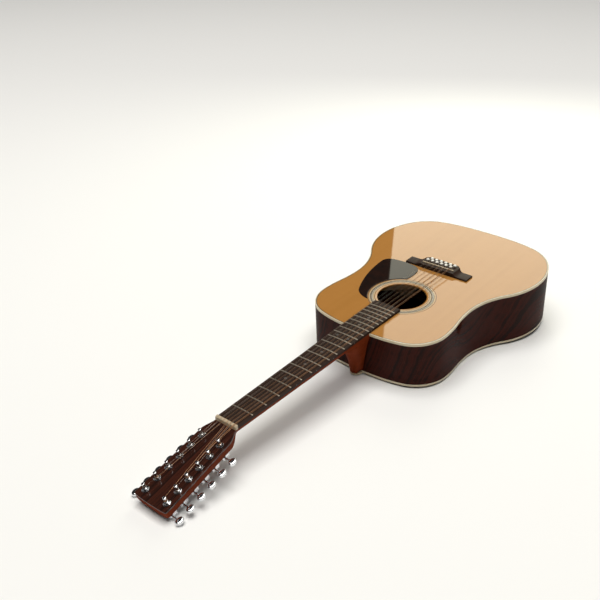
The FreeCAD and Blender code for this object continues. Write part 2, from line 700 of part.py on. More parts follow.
def neck_section(y, depth):
    """A flat-topped section of the neck: a half ellipse under the fretboard's glue face."""
    half = board_half_width(y)
    long_side, short_side = max(half, depth), min(half, depth)
    curve = Part.Ellipse(vec(0, 0), long_side, short_side)
    if half >= depth:
        arc = Part.ArcOfEllipse(curve, math.pi, 2 * math.pi).toShape()
    else:
        arc = Part.ArcOfEllipse(curve, math.pi / 2, 3 * math.pi / 2).toShape()
        arc.rotate(vec(0, 0), vec(0, 0, 1), 90)
    wire = Part.Wire([arc, Part.makeLine(vec(half, 0), vec(-half, 0))])
    wire.rotate(vec(0, 0), vec(1, 0), 90)
    wire.translate(vec(0, y))
    return wire


def heel_section(z, half, reach):
    """A plan section of the heel: a half ellipse ahead of a short straight root in the body."""
    root = BODY_LENGTH - NECK_ROOT_IN_BODY
    curve = Part.Ellipse(vec(0, 0), max(reach, half), min(reach, half))
    if reach > half:
        arc = Part.ArcOfEllipse(curve, -math.pi / 2, math.pi / 2).toShape()
        arc.rotate(vec(0, 0), vec(0, 0, 1), 90)
    else:
        arc = Part.ArcOfEllipse(curve, 0, math.pi).toShape()
    arc.translate(vec(0, BODY_LENGTH, z))
    sides = Part.makePolygon([vec(-half, BODY_LENGTH, z), vec(-half, root, z), vec(half, root, z),
                              vec(half, BODY_LENGTH, z)])
    return Part.Wire(Part.__sortEdges__([arc] + sides.Edges))


def heel():
    """The neck's foot, which narrows and steepens down to the cap."""
    bottom = NECK_END_DEPTH - HEEL_CAP_THICKNESS
    top_half, cap_half = board_half_width(BODY_LENGTH) - 0.2, HEEL_CAP_WIDTH / 2
    sections = []
    for depth, width, reach in HEEL_SECTIONS:
        half = cap_half + (top_half - cap_half) * width
        sections.append(heel_section(-bottom * depth, half, reach))
    return Part.makeLoft(sections, True, False)


def head_plan(z0, z1):
    """The head's outline between two depths of its own frame."""
    root, shoulder, tip = NUT_WIDTH / 2, HEAD_SHOULDER_WIDTH / 2, HEAD_TIP_WIDTH / 2
    edges = []
    for side in (1, -1):
        start, flare = vec(side * root, -3.0), vec(side * root, 0)
        bend = vec(side * (shoulder - 0.6), HEAD_FLARE_END)
        knee = vec(side * head_half_width(HEAD_KNEE), HEAD_KNEE)
        corner, cap = vec(side * tip, HEAD_LENGTH - HEAD_CORNER), vec(side * (tip - 5.0), HEAD_LENGTH - 1.2)
        edges.append(Part.makeLine(start, flare))
        edges.append(Part.Arc(flare, vec(side * (root + 3.2), 9.5), bend).toShape())
        edges.append(Part.Arc(bend, vec(side * (shoulder + 0.3), 23.3), knee).toShape())
        edges.append(Part.makeLine(knee, corner))
        edges.append(Part.Arc(corner, vec(side * (tip - 1.0), HEAD_LENGTH - 2.6), cap).toShape())
    edges.append(Part.Arc(vec(tip - 5.0, HEAD_LENGTH - 1.2), vec(0, HEAD_LENGTH),
                          vec(5.0 - tip, HEAD_LENGTH - 1.2)).toShape())
    edges.append(Part.makeLine(vec(root, -3.0), vec(-root, -3.0)))
    face = Part.Face(Part.Wire(Part.__sortEdges__(edges)))
    face.translate(vec(0, 0, z0))
    return placed(face.extrude(vec(0, 0, z1 - z0)), HEAD)


def post_places():
    """Every tuning machine: its side of the head, its index from the nut and its post's foot."""
    return [(side, index, vec(side * post_half_spread(index), post_along(index)))
            for side in (-1, 1) for index in range(TUNERS_PER_SIDE)]


def above_head(height):
    """Everything ahead of the nut and above a depth in the head's frame."""
    return placed(box(-60, 60, 0, HEAD_LENGTH + 20, height, 60), HEAD)


def neck_parts():
    ends = [neck_section(BODY_LENGTH - NECK_ROOT_IN_BODY, NECK_DEPTH_AT_BODY),
            neck_section(HEAD_ROOT_Y + NECK_INTO_HEAD, NECK_DEPTH_AT_NUT)]
    shaft = Part.makeLoft(ends, True, True)
    head = head_plan(-HEAD_THICKNESS, -OVERLAY_THICKNESS)
    body_space = plan_prism(0, PLAN_BOTTOM, 1.0)
    blank = joined([shaft, heel(), head]).cut(body_space).cut(above_head(-OVERLAY_THICKNESS))
    blank = blank.fuse(tenon()).removeSplitter()
    overlay = head_plan(-OVERLAY_THICKNESS, 0).common(above_head(-OVERLAY_THICKNESS))
    holes, pilots = [], []
    for side, index, foot in post_places():
        hole = rod(BUSHING_RADIUS, foot + vec(0, 0, -HEAD_THICKNESS - 1), foot + vec(0, 0, 1))
        holes.append(placed(hole, HEAD))
        screw_foot = foot + vec(0, -HOUSING_BEFORE - EAR_SIZE[1] / 2, -HEAD_THICKNESS)
        screw_tip = screw_foot + vec(0, 0, EAR_SCREW_LENGTH)
        pilots.append(placed(rod(EAR_SCREW_RADIUS, screw_foot, screw_tip), HEAD))
    blank = blank.cut([rod_channel(), rod_bar(0.0)] + holes + pilots)
    cap_shape = heel_section(-NECK_END_DEPTH, HEEL_CAP_WIDTH / 2, HEEL_CAP_REACH)
    cap = Part.Face(cap_shape).extrude(vec(0, 0, HEEL_CAP_THICKNESS)).cut(body_space)
    return {"neck": blank, "heel_cap": cap, "headstock_overlay": overlay.cut(holes)}


def rod_channel():
    """The square part of the truss rod, let into the neck under the fretboard."""
    width, depth = ROD_SECTION
    start, end = BODY_LENGTH + ROD_CHANNEL_START, NUT_Y - ROD_STOP_BEFORE_NUT
    return box(-width / 2, width / 2, start, end, -depth, 0)


def rod_bar(clearance):
    """The round part of the truss rod, which crosses the joint into the body."""
    start = BODY_LENGTH - NECK_BLOCK[1] - ROD_NUT_THREAD
    return rod(ROD_BAR_RADIUS + clearance, vec(0, start, ROD_Z), vec(0, BODY_LENGTH + 4.0, ROD_Z))


def truss_rod_parts():
    back = BODY_LENGTH - NECK_BLOCK[1] - 1.0
    front = back - ROD_NUT_LENGTH
    nut = rod(ROD_NUT_RADIUS, vec(0, front, ROD_Z), vec(0, back, ROD_Z))
    bore = rod(ROD_BAR_RADIUS + RUNNING_CLEARANCE, vec(0, back - ROD_NUT_THREAD, ROD_Z), vec(0, back, ROD_Z))
    socket = hexagon(*HEX_SOCKET)
    socket.rotate(vec(0, 0), vec(1, 0), -90)
    socket.translate(vec(0, front, ROD_Z))
    whole_rod = rod_channel().fuse(rod_bar(0.0)).removeSplitter()
    return {"truss_rod": whole_rod, "truss_rod_nut": nut.cut(bore).cut(socket)}


def hexagon(across_flats, height):
    radius = across_flats / math.sqrt(3.0)
    corners = [vec(radius * math.cos(math.radians(60 * k)), radius * math.sin(math.radians(60 * k)))
               for k in range(6)]
    return prism(corners, vec(0, 0, height))


def board_crown():
    """The cylinder whose top is the fretboard's playing face."""
    axis_z = FRETBOARD_THICKNESS - FRETBOARD_RADIUS
    return rod(FRETBOARD_RADIUS, vec(0, BOARD_END_Y - 5, axis_z), vec(0, NUT_Y + 5, axis_z))


def fret(number):
    """One fret: a rounded crown on a tang, both following the board's crown."""
    y, z, half = fret_y(number), FRETBOARD_THICKNESS, FRET_WIDTH / 2
    tang, depth = FRET_TANG[0] / 2, FRET_TANG[1]
    dome_arc = Part.Arc(vec(0, y - half, z), vec(0, y, z + FRET_HEIGHT), vec(0, y + half, z)).toShape()
    foot = Part.makePolygon([vec(0, y + half, z), vec(0, y + tang, z), vec(0, y + tang, z - depth),
                             vec(0, y - tang, z - depth), vec(0, y - tang, z), vec(0, y - half, z)])
    profile = Part.Face(Part.Wire([dome_arc] + foot.Edges))
    reach = math.degrees(math.asin((board_half_width(y) - 0.3) / FRETBOARD_RADIUS))
    pivot = vec(0, y, z - FRETBOARD_RADIUS)
    profile.rotate(pivot, vec(0, 1, 0), -reach)
    return profile.revolve(pivot, vec(0, 1, 0), 2 * reach)


def marker_blanks():
    """Face dots between frets, two at the octave, and side dots on the bass edge."""
    blanks = []
    for number in (5, 7, 9, 12, 15, 17):
        y = (fret_y(number) + fret_y(number - 1)) / 2
        for x in ((-0.25 * NUT_WIDTH, 0.25 * NUT_WIDTH) if number == 12 else (0.0,)):
            low = vec(x, y, FRETBOARD_THICKNESS - MARKER_DEPTH)
            blanks.append(rod(MARKER_RADIUS, low, low + vec(0, 0, 4)))
        edge = vec(-board_half_width(y), y, FRETBOARD_THICKNESS / 2)
        blanks.append(rod(SIDE_MARKER_RADIUS, edge - vec(1, 0), edge + vec(MARKER_DEPTH, 0)))
    return blanks


def fretboard_parts():
    half_nut, half_end = board_half_width(NUT_Y), board_half_width(BOARD_END_Y)
    plan = [vec(-half_end, BOARD_END_Y), vec(half_end, BOARD_END_Y),
            vec(half_nut, NUT_Y), vec(-half_nut, NUT_Y)]
    blank = prism(plan, vec(0, 0, 12)).common(board_crown())
    frets = [fret(number + 1) for number in range(FRET_COUNT)]
    markers = [blank.common(dot) for dot in marker_blanks()]
    return {
        "fretboard": blank.cut(frets + marker_blanks()),
        "frets": Part.makeCompound(frets),
        "position_markers": Part.makeCompound(markers),
    }


def nut():
    """The bone nut, flat where the strings break over it and falling towards the head."""
    y, top, half = NUT_Y, STRING_HEIGHT_AT_NUT - STRING_ABOVE_NUT_SLOT, NUT_WIDTH / 2
    side = [vec(-half, y, 0), vec(-half, y, top), vec(-half, y + 1.4, top),
            vec(-half, y + NUT_LENGTH, top - 1.4), vec(-half, y + NUT_LENGTH, 0)]
    slots = [string_tube(item, HOLE_CLEARANCE) for item in string_table()]
    return prism(side, vec(2 * half, 0, 0)).cut(slots)


# ---------------------------------------------------------------- strings

def course_x(course, spread):
    return (course / (len(STRING_DIAMETERS) - 1) - 0.5) * spread


def string_table():
    """Every string: its radius, its pin and its post; outer courses use the posts by the nut."""
    table = []
    last = len(STRING_DIAMETERS) - 1
    for course, slot, pin in pin_places():
        side = -1 if course <= last // 2 else 1
        order = course if side < 0 else last - course
        outer = (slot == 0) == (side < 0)
        table.append({
            "radius": STRING_DIAMETERS[course][slot] / 2,
            "saddle_x": course_x(course, SADDLE_SPREAD) + (slot - 0.5) * SADDLE_PAIR_GAP,
            "nut_x": course_x(course, NUT_SPREAD) + (slot - 0.5) * NUT_PAIR_GAP,
            "pin": pin,
            "side": side,
            "post": 2 * order + (0 if outer else 1),
        })
    return table


def string_route(item):
    """Bends of a string: ball end, bridge top, saddle, nut and the edge of its coil."""
    pin, radius = item["pin"], item["radius"]
    flute = flute_y(pin)
    index = item["post"]
    clear = POST_WAIST_RADIUS + 3 * radius + STRING_GAP_TO_POST
    across = item["side"] * (post_half_spread(index) - clear)
    height = COIL_HEIGHTS[index % 2] + COIL_LENGTH / 2
    return [
        vec(pin.x, flute, PLATE_BOTTOM - BALL_RADIUS - 0.05),
        vec(pin.x, flute, BRIDGE_HEIGHT + 0.45),
        vec(item["saddle_x"], saddle_y(item["saddle_x"]), SADDLE_TOP + radius + 0.12),
        vec(item["nut_x"], NUT_Y + 1.4, STRING_HEIGHT_AT_NUT),
        HEAD.multVec(vec(across, post_along(index), height)),
    ]


def string_tube(item, extra=0.0):
    """A string swept along straight runs joined by tangent arcs."""
    points = string_route(item)
    edges, start = [], points[0]
    for before, corner, after, bend in zip(points, points[1:], points[2:], (1.5, 4.0, 4.0)):
        to_corner = (corner - before).normalize()
        from_corner = (after - corner).normalize()
        turn = to_corner.getAngle(from_corner)
        reach = bend * math.tan(turn / 2)
        entry, leave = corner - to_corner * reach, corner + from_corner * reach
        inward = (from_corner - to_corner).normalize()
        middle = corner + inward * (bend / math.cos(turn / 2) - bend)
        edges += [Part.makeLine(start, entry), Part.Arc(entry, middle, leave).toShape()]
        start = leave
    edges.append(Part.makeLine(start, points[-1]))
    rim = Part.Wire(Part.makeCircle(item["radius"] + extra, points[0], points[1] - points[0]))
    return Part.Wire(edges).makePipeShell([rim], True, False)


def ball_end(item):
    centre = string_route(item)[0]
    ball = Part.makeCylinder(BALL_RADIUS, 2.4, centre + vec(-1.2, 0), vec(1, 0))
    return ball.cut(pin_shank(item["pin"]))


def strings():
    wound, plain = [], []
    for item in string_table():
        string = string_tube(item).fuse(ball_end(item))
        (wound if 2 * item["radius"] > WOUND_FROM_DIAMETER else plain).append(string)
    return {"strings_wound": Part.makeCompound(wound), "strings_plain": Part.makeCompound(plain)}


# ---------------------------------------------------------------- tuning machines
# Each machine is drawn for the treble side, with its post on the z axis of the head's frame.

def gear():
    root, crest = GEAR_RADII
    low = WORM_Z - GEAR_FACE / 2
    disc = Part.makeCylinder(root, GEAR_FACE, vec(0, 0, low))
    foot_half, crest_half = TOOTH_THICKNESS[0] / 2, TOOTH_THICKNESS[1] / 2
    teeth = []
    for number in range(GEAR_TEETH):
        tooth = prism([vec(-foot_half, root - 0.2, low), vec(foot_half, root - 0.2, low),
                       vec(crest_half, crest, low), vec(-crest_half, crest, low)], vec(0, 0, GEAR_FACE))
        tooth.rotate(vec(0, 0), vec(0, 0, 1), 360.0 * number / GEAR_TEETH)
        teeth.append(tooth)
    return joined([disc] + teeth).cut(Part.makeCylinder(GEAR_SEAT_RADIUS, GEAR_FACE, vec(0, 0, low)))


def string_post(coil_radius, coil_low):
    """The post, its gear, the gear's screw and the coil of string wound on its waist."""
    low = WORM_Z + GEAR_FACE / 2
    gear_foot = low - GEAR_FACE
    waist_low, waist_high = COIL_HEIGHTS[0] - 0.2, COIL_HEIGHTS[1] + COIL_LENGTH + 1.4
    stem = [Part.makeCylinder(POST_RADIUS, waist_low - low, vec(0, 0, low)),
            Part.makeCylinder(POST_WAIST_RADIUS, waist_high - waist_low, vec(0, 0, waist_low)),
            Part.makeCylinder(POST_RADIUS, POST_TOP - waist_high, vec(0, 0, waist_high)),
            Part.makeCylinder(GEAR_SEAT_RADIUS, GEAR_FACE, vec(0, 0, gear_foot))]
    screw = Part.makeCylinder(*GEAR_SCREW_HEAD, vec(0, 0, gear_foot - GEAR_SCREW_HEAD[1]))
    screw = screw.fuse(Part.makeCylinder(*GEAR_SCREW_SHANK, vec(0, 0, gear_foot)))
    post = joined(stem)
    crown = [edge for edge in post.Edges if edge.BoundBox.ZMin > POST_TOP - 0.01 and edge.Closed]
    post = post.makeFillet(POST_CROWN_FILLET, crown)
    eye_z = COIL_HEIGHTS[1] + COIL_LENGTH + 0.6
    eye = rod(POST_HOLE_RADIUS, vec(-5, 0, eye_z), vec(5, 0, eye_z))
    coil = Part.makeCylinder(coil_radius, COIL_LENGTH, vec(0, 0, coil_low))
    coil = coil.cut(Part.makeCylinder(POST_WAIST_RADIUS, COIL_LENGTH, vec(0, 0, coil_low)))
    return Part.makeCompound([post.cut(eye).cut(screw), gear(), screw, coil])


def worm_thread():
    """A right-hand thread along x, phased so that a gap faces the gear's nearest tooth at rest."""
    length = WORM_TURNS * WORM_PITCH
    root, crest = WORM_RADII
    helix = Part.Wire(Part.makeHelix(WORM_PITCH, length, root))
    foot_half, crest_half = TOOTH_THICKNESS[0] / 2, TOOTH_THICKNESS[1] / 2
    rim = [vec(root - 0.08, 0, -foot_half), vec(crest, 0, -crest_half), vec(crest, 0, crest_half),
           vec(root - 0.08, 0, foot_half)]
    thread = helix.makePipeShell([Part.makePolygon(rim + rim[:1])], True, True)
    thread.translate(vec(0, 0, -length / 2))
    thread.rotate(vec(0, 0), vec(1, 1, 1), 120)
    thread.rotate(vec(0, 0), vec(1, 0), -180.0 * WORM_TURNS)
    return thread


def tuning_knob(stem_length):
    """Worm shaft, oval button and the screw that holds the button."""
    start, shoulder = -HOUSING_INNER + HOLE_CLEARANCE, HOUSING_OUTER - SHAFT_BEARING - HOLE_CLEARANCE
    long_side, wide_side, thick = BUTTON_SIZE
    button_x = HOUSING_OUTER + stem_length
    core = Part.makeCylinder(WORM_RADII[0], shoulder - start, vec(start, 0), vec(1, 0))
    collar = Part.makeCylinder(WORM_RADII[1], SHAFT_COLLAR, vec(shoulder - SHAFT_COLLAR, 0), vec(1, 0))
    stem = Part.makeCylinder(SHAFT_RADIUS, button_x + 8.0 - shoulder, vec(shoulder, 0), vec(1, 0))
    shaft = joined([core, collar, stem, worm_thread()])
    oval = Part.Ellipse(vec(0, 0), wide_side / 2, long_side / 2).toShape()
    button = Part.Face(Part.Wire(oval)).extrude(vec(0, 0, thick))
    button = button.makeFillet(0.38 * thick, [edge for edge in button.Edges if edge.Closed])
    button.rotate(vec(0, 0), vec(0, 0, 1), 90)
    button.translate(vec(button_x + long_side / 2, 0, -thick / 2))
    end = button_x + long_side
    screw = Part.makeCylinder(*BUTTON_SCREW_HEAD, vec(end - 0.3, 0), vec(1, 0))
    screw = screw.fuse(rod(BUTTON_SCREW_RADIUS, vec(button_x + 3.0, 0), vec(end, 0)))
    half_slot = SCREW_SLOT_WIDTH / 2
    screw = screw.cut(box(end + 0.4, end + 2, -half_slot, half_slot, -3, 3))
    knob = Part.makeCompound([shaft.cut(screw), button.cut(stem).cut(screw), screw])
    knob.translate(vec(0, WORM_OFFSET, WORM_Z))
    return knob


def housing_plan(z0, z1):
    """The housing's rounded plan between two depths."""
    block = box(-HOUSING_INNER, HOUSING_OUTER, -HOUSING_BEFORE, HOUSING_BEYOND, z0, z1)
    upright = [edge for edge in block.Edges if edge.BoundBox.ZLength > abs(z1 - z0) / 2]
    return block.makeFillet(HOUSING_CORNER, upright)


def tuner_housing():
    """Cast shell around the gear and worm, open towards its cover, with one screw ear."""
    roof = -HEAD_THICKNESS - HOUSING_WALL
    width, length, thick = EAR_SIZE
    ear = box(-width / 2, width / 2, -HOUSING_BEFORE - length, -HOUSING_BEFORE + 1, -HEAD_THICKNESS - thick,
              -HEAD_THICKNESS)
    shell = housing_plan(HOUSING_BACK, -HEAD_THICKNESS).fuse(ear).removeSplitter()
    depth = roof - HOUSING_BACK
    gear_well = Part.makeCylinder(GEAR_RADII[1] + 0.35, depth, vec(0, 0, HOUSING_BACK))
    half = WORM_RADII[1] + 0.25
    worm_well = box(-HOUSING_INNER + HOUSING_WALL, HOUSING_OUTER - SHAFT_BEARING, WORM_OFFSET - half,
                    WORM_OFFSET + half, HOUSING_BACK, roof)
    post_bore = Part.makeCylinder(POST_RADIUS + RUNNING_CLEARANCE, 2 * HOUSING_WALL, vec(0, 0, roof - 1))
    inner, middle, outer = (vec(x, WORM_OFFSET, WORM_Z) for x in (-HOUSING_INNER - 1, 0, HOUSING_OUTER + 1))
    inner_bore = rod(WORM_RADII[0] + RUNNING_CLEARANCE, inner, middle)
    outer_bore = rod(SHAFT_RADIUS + RUNNING_CLEARANCE, middle, outer)
    ear_foot = vec(0, -HOUSING_BEFORE - length / 2, -HEAD_THICKNESS - thick - 1)
    ear_hole = rod(EAR_SCREW_RADIUS, ear_foot, ear_foot + vec(0, 0, thick + 2))
    return shell.cut([gear_well, worm_well, post_bore, inner_bore, outer_bore, ear_hole])


def tuner_bushing():
    """A sleeve with a hexagon head over a flat washer."""
    low, top = vec(0, 0, -HEAD_THICKNESS), WASHER_THICKNESS + HEX_HEIGHT
    head = hexagon(BUSHING_HEX, HEX_HEIGHT)
    head.translate(vec(0, 0, WASHER_THICKNESS))
    sleeve = rod(BUSHING_RADIUS, low, vec(0, 0, WASHER_THICKNESS)).fuse(head)
    sleeve = sleeve.cut(rod(POST_RADIUS + RUNNING_CLEARANCE, low, vec(0, 0, top)))
    washer = rod(WASHER_RADIUS, vec(0, 0), vec(0, 0, WASHER_THICKNESS))
    washer = washer.cut(rod(BUSHING_RADIUS, vec(0, 0), vec(0, 0, WASHER_THICKNESS)))
    return Part.makeCompound([sleeve, washer])


def tuner_screw():
    """A pan-head screw from the ear into the head's wood."""
    seat = vec(0, -HOUSING_BEFORE - EAR_SIZE[1] / 2, -HEAD_THICKNESS - EAR_SIZE[2])
    shank = rod(EAR_SCREW_RADIUS, seat, seat + vec(0, 0, EAR_SIZE[2] + EAR_SCREW_LENGTH))
    radius, height = EAR_SCREW_HEAD
    head = rod(radius, seat - vec(0, 0, height), seat)
    crown = [edge for edge in head.Edges if edge.Closed and edge.BoundBox.ZMax < seat.z - height / 2]
    head = head.makeChamfer(height / 3, crown)
    half_slot = SCREW_SLOT_WIDTH / 2
    slot = box(-3, 3, seat.y - half_slot, seat.y + half_slot, seat.z - 2 * height, seat.z - height / 2)
    return shank.fuse(head).cut(slot)


def machine_parts():
    """Twelve tuning machines: shared nodes for what is fixed, one node for each post and knob."""
    fixed = {"tuner_housings": [], "tuner_covers": [], "tuner_bushings": [], "tuner_screws": []}
    shapes = {"tuner_housings": tuner_housing(), "tuner_covers": housing_plan(COVER_BACK, HOUSING_BACK),
              "tuner_bushings": tuner_bushing(), "tuner_screws": tuner_screw()}
    radii = {(item["side"], item["post"]): item["radius"] for item in string_table()}
    nodes = {}
    for number, (side, index, foot) in enumerate(post_places(), start=1):
        def seat(shape):
            own = shape if side > 0 else mirrored(shape)
            own = own.copy()
            own.translate(foot)
            return placed(own, HEAD)
        for name, shape in shapes.items():
            fixed[name].append(seat(shape))
        coil_radius = POST_WAIST_RADIUS + 2 * radii[side, index]
        nodes["string_post_%02d" % number] = seat(string_post(coil_radius, COIL_HEIGHTS[index % 2]))
        reach = head_half_width(post_along(index) + WORM_OFFSET) - post_half_spread(index)
        stem_length = reach + BUTTON_GAP_TO_HEAD - HOUSING_OUTER
        nodes["tuning_knob_%02d" % number] = seat(tuning_knob(stem_length))
    nodes.update({name: Part.makeCompound(solids) for name, solids in fixed.items()})
    return nodes


# ---------------------------------------------------------------- the whole guitar

def guitar():
    nodes = body_parts()
    nodes.update({
        "soundboard": soundboard(),
        "rosette": Part.makeCompound(rosette_rings()),
        "top_purfling": purfling(),
        "top_braces": top_braces(),
        "back_braces": back_braces(),
        "bridge_plate": bridge_plate(),
        "bridge": bridge(),
        "saddle": saddle(),
        "bridge_pins": bridge_pins(),
        "pickguard": pickguard(),
        "nut": nut(),
    })
    nodes.update(neck_parts())
    nodes.update(fretboard_parts())
    nodes.update(truss_rod_parts())
    nodes.update(strings())
    nodes.update(machine_parts())
    return nodes


def main():
    os.makedirs("parts", exist_ok=True)
    at_rest = rest_placement().toMatrix()
    for name, shape in guitar().items():
        placed(shape, at_rest).exportStep("parts/%s.step" % name)


if __name__ == "__main__":
    main()
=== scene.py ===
"""Looks of a twelve-string flat-top guitar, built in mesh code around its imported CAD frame."""

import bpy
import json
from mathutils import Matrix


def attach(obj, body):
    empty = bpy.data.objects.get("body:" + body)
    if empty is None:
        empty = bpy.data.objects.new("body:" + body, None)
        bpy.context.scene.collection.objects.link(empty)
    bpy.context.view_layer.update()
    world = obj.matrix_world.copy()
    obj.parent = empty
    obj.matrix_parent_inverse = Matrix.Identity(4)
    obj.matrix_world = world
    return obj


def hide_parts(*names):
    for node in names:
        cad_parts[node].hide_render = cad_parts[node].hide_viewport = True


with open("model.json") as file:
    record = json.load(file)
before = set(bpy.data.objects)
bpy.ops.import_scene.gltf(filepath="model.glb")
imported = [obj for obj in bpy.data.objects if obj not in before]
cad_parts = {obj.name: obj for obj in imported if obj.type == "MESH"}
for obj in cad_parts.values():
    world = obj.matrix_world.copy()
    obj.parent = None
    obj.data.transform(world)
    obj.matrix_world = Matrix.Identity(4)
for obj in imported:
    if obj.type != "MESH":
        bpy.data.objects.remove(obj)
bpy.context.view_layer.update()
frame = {"nodes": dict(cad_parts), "record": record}

import json
import logging
import math
from dataclasses import dataclass
from enum import Enum
from typing import Callable, Iterable, Sequence

import bmesh
import bpy
from mathutils import Matrix, Vector

LOG = logging.getLogger("guitar")
MM = 0.001
SUPPORT_INSET = 0.25     # a ring this far inside a bevel keeps the flat face's shading flat, in mm
Point = tuple[float, float, float]
Flat = tuple[float, float]


# ---------------------------------------------------------------- places

@dataclass(frozen=True)
class Bench:
    """The maker's bench frame: x to the treble side, y from tail to head, z out of the soundboard.

    Attributes:
        truss_nut: the truss rod nut's middle on the bench, in millimetres.
        head_angle: how far the head tilts back from the neck, in degrees.
        head_root: where the head's face starts, along the neck, in millimetres.
    """

    truss_nut: Point = (0.0, 440.0, -8.0)
    head_angle: float = 13.3
    head_root: float = 871.35

    def matrix(self) -> Matrix:
        """Returns the rigid move from the bench, in metres, to the frame of the whole part."""
        joints = frame["record"]["behaviour"]["joints"]
        turn = next(joint for joint in joints if joint["name"] == "truss_rod_turn")
        lean = Matrix.Rotation(math.atan2(turn["axis"][2], turn["axis"][1]), 4, "X")
        offset = Vector(turn["pos_m"]) - lean @ (Vector(self.truss_nut) * MM)
        return Matrix.Translation(offset) @ lean

    def head(self, x: float = 0.0, along: float = 0.0, up: float = 0.0) -> Matrix:
        """Returns the place of a point of the head's face, x across and along it, in millimetres."""
        tilt = Matrix.Rotation(-math.radians(self.head_angle), 4, "X")
        root = Matrix.Translation(Vector((0.0, self.head_root, 0.0)) * MM)
        return self.matrix() @ root @ tilt @ Matrix.Translation(Vector((x, along, up)) * MM)

    def head_point(self, x: float, along: float, up: float) -> Point:
        """Returns a point of the head's own frame in bench millimetres."""
        angle = math.radians(self.head_angle)
        y = self.head_root + along * math.cos(angle) + up * math.sin(angle)
        return (x, y, up * math.cos(angle) - along * math.sin(angle))


BENCH = Bench()


# ---------------------------------------------------------------- mesh building

class Sketch:
    """Points and faces of one piece, gathered in millimetres."""

    def __init__(self) -> None:
        """Starts an empty sketch."""
        self.points: list[Point] = []
        self.faces: list[list[int]] = []
        self.face_slots: list[int] = []

    def ring(self, points: Iterable[Point]) -> list[int]:
        """Adds points and returns their numbers."""
        start = len(self.points)
        self.points.extend(tuple(point) for point in points)
        return list(range(start, len(self.points)))

    def face(self, corners: Sequence[int], slot: int = 0) -> None:
        """Adds one face with a material slot."""
        self.faces.append(list(corners))
        self.face_slots.append(slot)

    def skin(self, first: Sequence[int], second: Sequence[int], closed: bool = True, slot: int = 0) -> None:
        """Joins two rings of the same length with a strip of quads."""
        count = len(first)
        for index in range(count if closed else count - 1):
            after = (index + 1) % count
            self.face((first[index], first[after], second[after], second[index]), slot)

    def loft(self, rings: Sequence[Iterable[Point]], closed: bool = True, caps: bool = True,
             around: bool = False) -> None:
        """Joins a row of rings.

        Args:
            rings: the rings, all of one length.
            closed: whether each ring closes on itself.
            caps: whether the first and last rings are filled.
            around: whether the last ring joins the first, as in a hoop.
        """
        made = [self.ring(ring) for ring in rings]
        for first, second in zip(made, made[1:] + (made[:1] if around else [])):
            self.skin(first, second, closed)
        if caps and not around:
            self.face(made[0])
            self.face(made[-1])

    def lathe(self, profile: Sequence[Flat], steps: int = 32, centre: Point = (0.0, 0.0, 0.0)) -> None:
        """Turns a closed profile of (radius, height) points about the z axis through the centre."""
        rings = []
        for radius, height in profile:
            rings.append([(centre[0] + radius * math.cos(math.tau * k / steps),
                           centre[1] + radius * math.sin(math.tau * k / steps),
                           centre[2] + height) for k in range(steps)])
        solid = profile[0][0] < 1e-6 and profile[-1][0] < 1e-6
        if solid:
            rings = rings[1:-1]
            made = [self.ring(ring) for ring in rings]
            for first, second in zip(made, made[1:]):
                self.skin(first, second)
            for ends, (_, height) in ((made[0], profile[0]), (made[-1], profile[-1])):
                tip = self.ring([(centre[0], centre[1], centre[2] + height)])[0]
                for index in range(steps):
                    self.face((ends[index], ends[(index + 1) % steps], tip))
        else:
            self.loft(rings, around=True)

    def tube(self, path: Sequence[Vector], radius: float, sides: int = 10) -> None:
        """Sweeps a circle along a path without twist."""
        tangents = [(path[min(k + 1, len(path) - 1)] - path[max(k - 1, 0)]).normalized()
                    for k in range(len(path))]
        normal = tangents[0].orthogonal().normalized()
        rings = []
        for place, tangent in zip(path, tangents):
            normal = (normal - tangent * normal.dot(tangent)).normalized()
            side = tangent.cross(normal)
            rings.append([tuple(place + normal * (radius * math.cos(math.tau * k / sides))
                                + side * (radius * math.sin(math.tau * k / sides))) for k in range(sides)])
        self.loft(rings)

    def moved(self, other: "Sketch", matrix: Matrix = Matrix.Identity(4), slot: int | None = None) -> None:
        """Adds a copy of another sketch, moved by a matrix in millimetres, all in one slot if given."""
        start = len(self.points)
        self.points.extend(tuple(matrix @ Vector(point)) for point in other.points)
        for corners, own in zip(other.faces, other.face_slots):
            self.face([start + corner for corner in corners], own if slot is None else slot)

    def piece(self, name: str, finishes: Sequence["Finish"], place: Matrix | None = None, body: str = "root",
              stands_for: Sequence[str] = (), crease: float = 38.0) -> bpy.types.Object:
        """Makes the piece, dresses it and lets it ride on its body.

        Args:
            name: the piece's name.
            finishes: one finish for each material slot.
            place: where the sketch's frame is; the bench when left out.
            body: the body that the piece rides on.
            stands_for: the CAD nodes that the piece replaces.
            crease: the angle in degrees above which an edge stays sharp.

        Returns:
            The finished object.
        """
        home = BENCH.matrix() if place is None else place
        mesh = bpy.data.meshes.new(name)
        mesh.from_pydata([home @ (Vector(point) * MM) for point in self.points], [], self.faces)
        for face, slot in zip(mesh.polygons, self.face_slots):
            face.material_index = slot
        shape = bmesh.new()
        shape.from_mesh(mesh)
        bmesh.ops.remove_doubles(shape, verts=shape.verts, dist=2e-6)
        bmesh.ops.recalc_face_normals(shape, faces=shape.faces)
        for face in shape.faces:
            face.smooth = True
        for edge in shape.edges:
            edge.smooth = not edge.is_manifold or edge.calc_face_angle() < math.radians(crease)
        shape.to_mesh(mesh)
        shape.free()
        for finish in finishes:
            mesh.materials.append(finish.material())
        made = bpy.data.objects.new(name, mesh)
        bpy.context.scene.collection.objects.link(made)
        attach(made, body)
        if stands_for:
            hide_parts(*stands_for)
        LOG.info("%s: %d faces on %s", name, len(mesh.polygons), body)
        return made


def lofted(rings: Sequence[Iterable[Point]], **options) -> Sketch:
    """A sketch of one loft."""
    sketch = Sketch()
    sketch.loft(rings, **options)
    return sketch


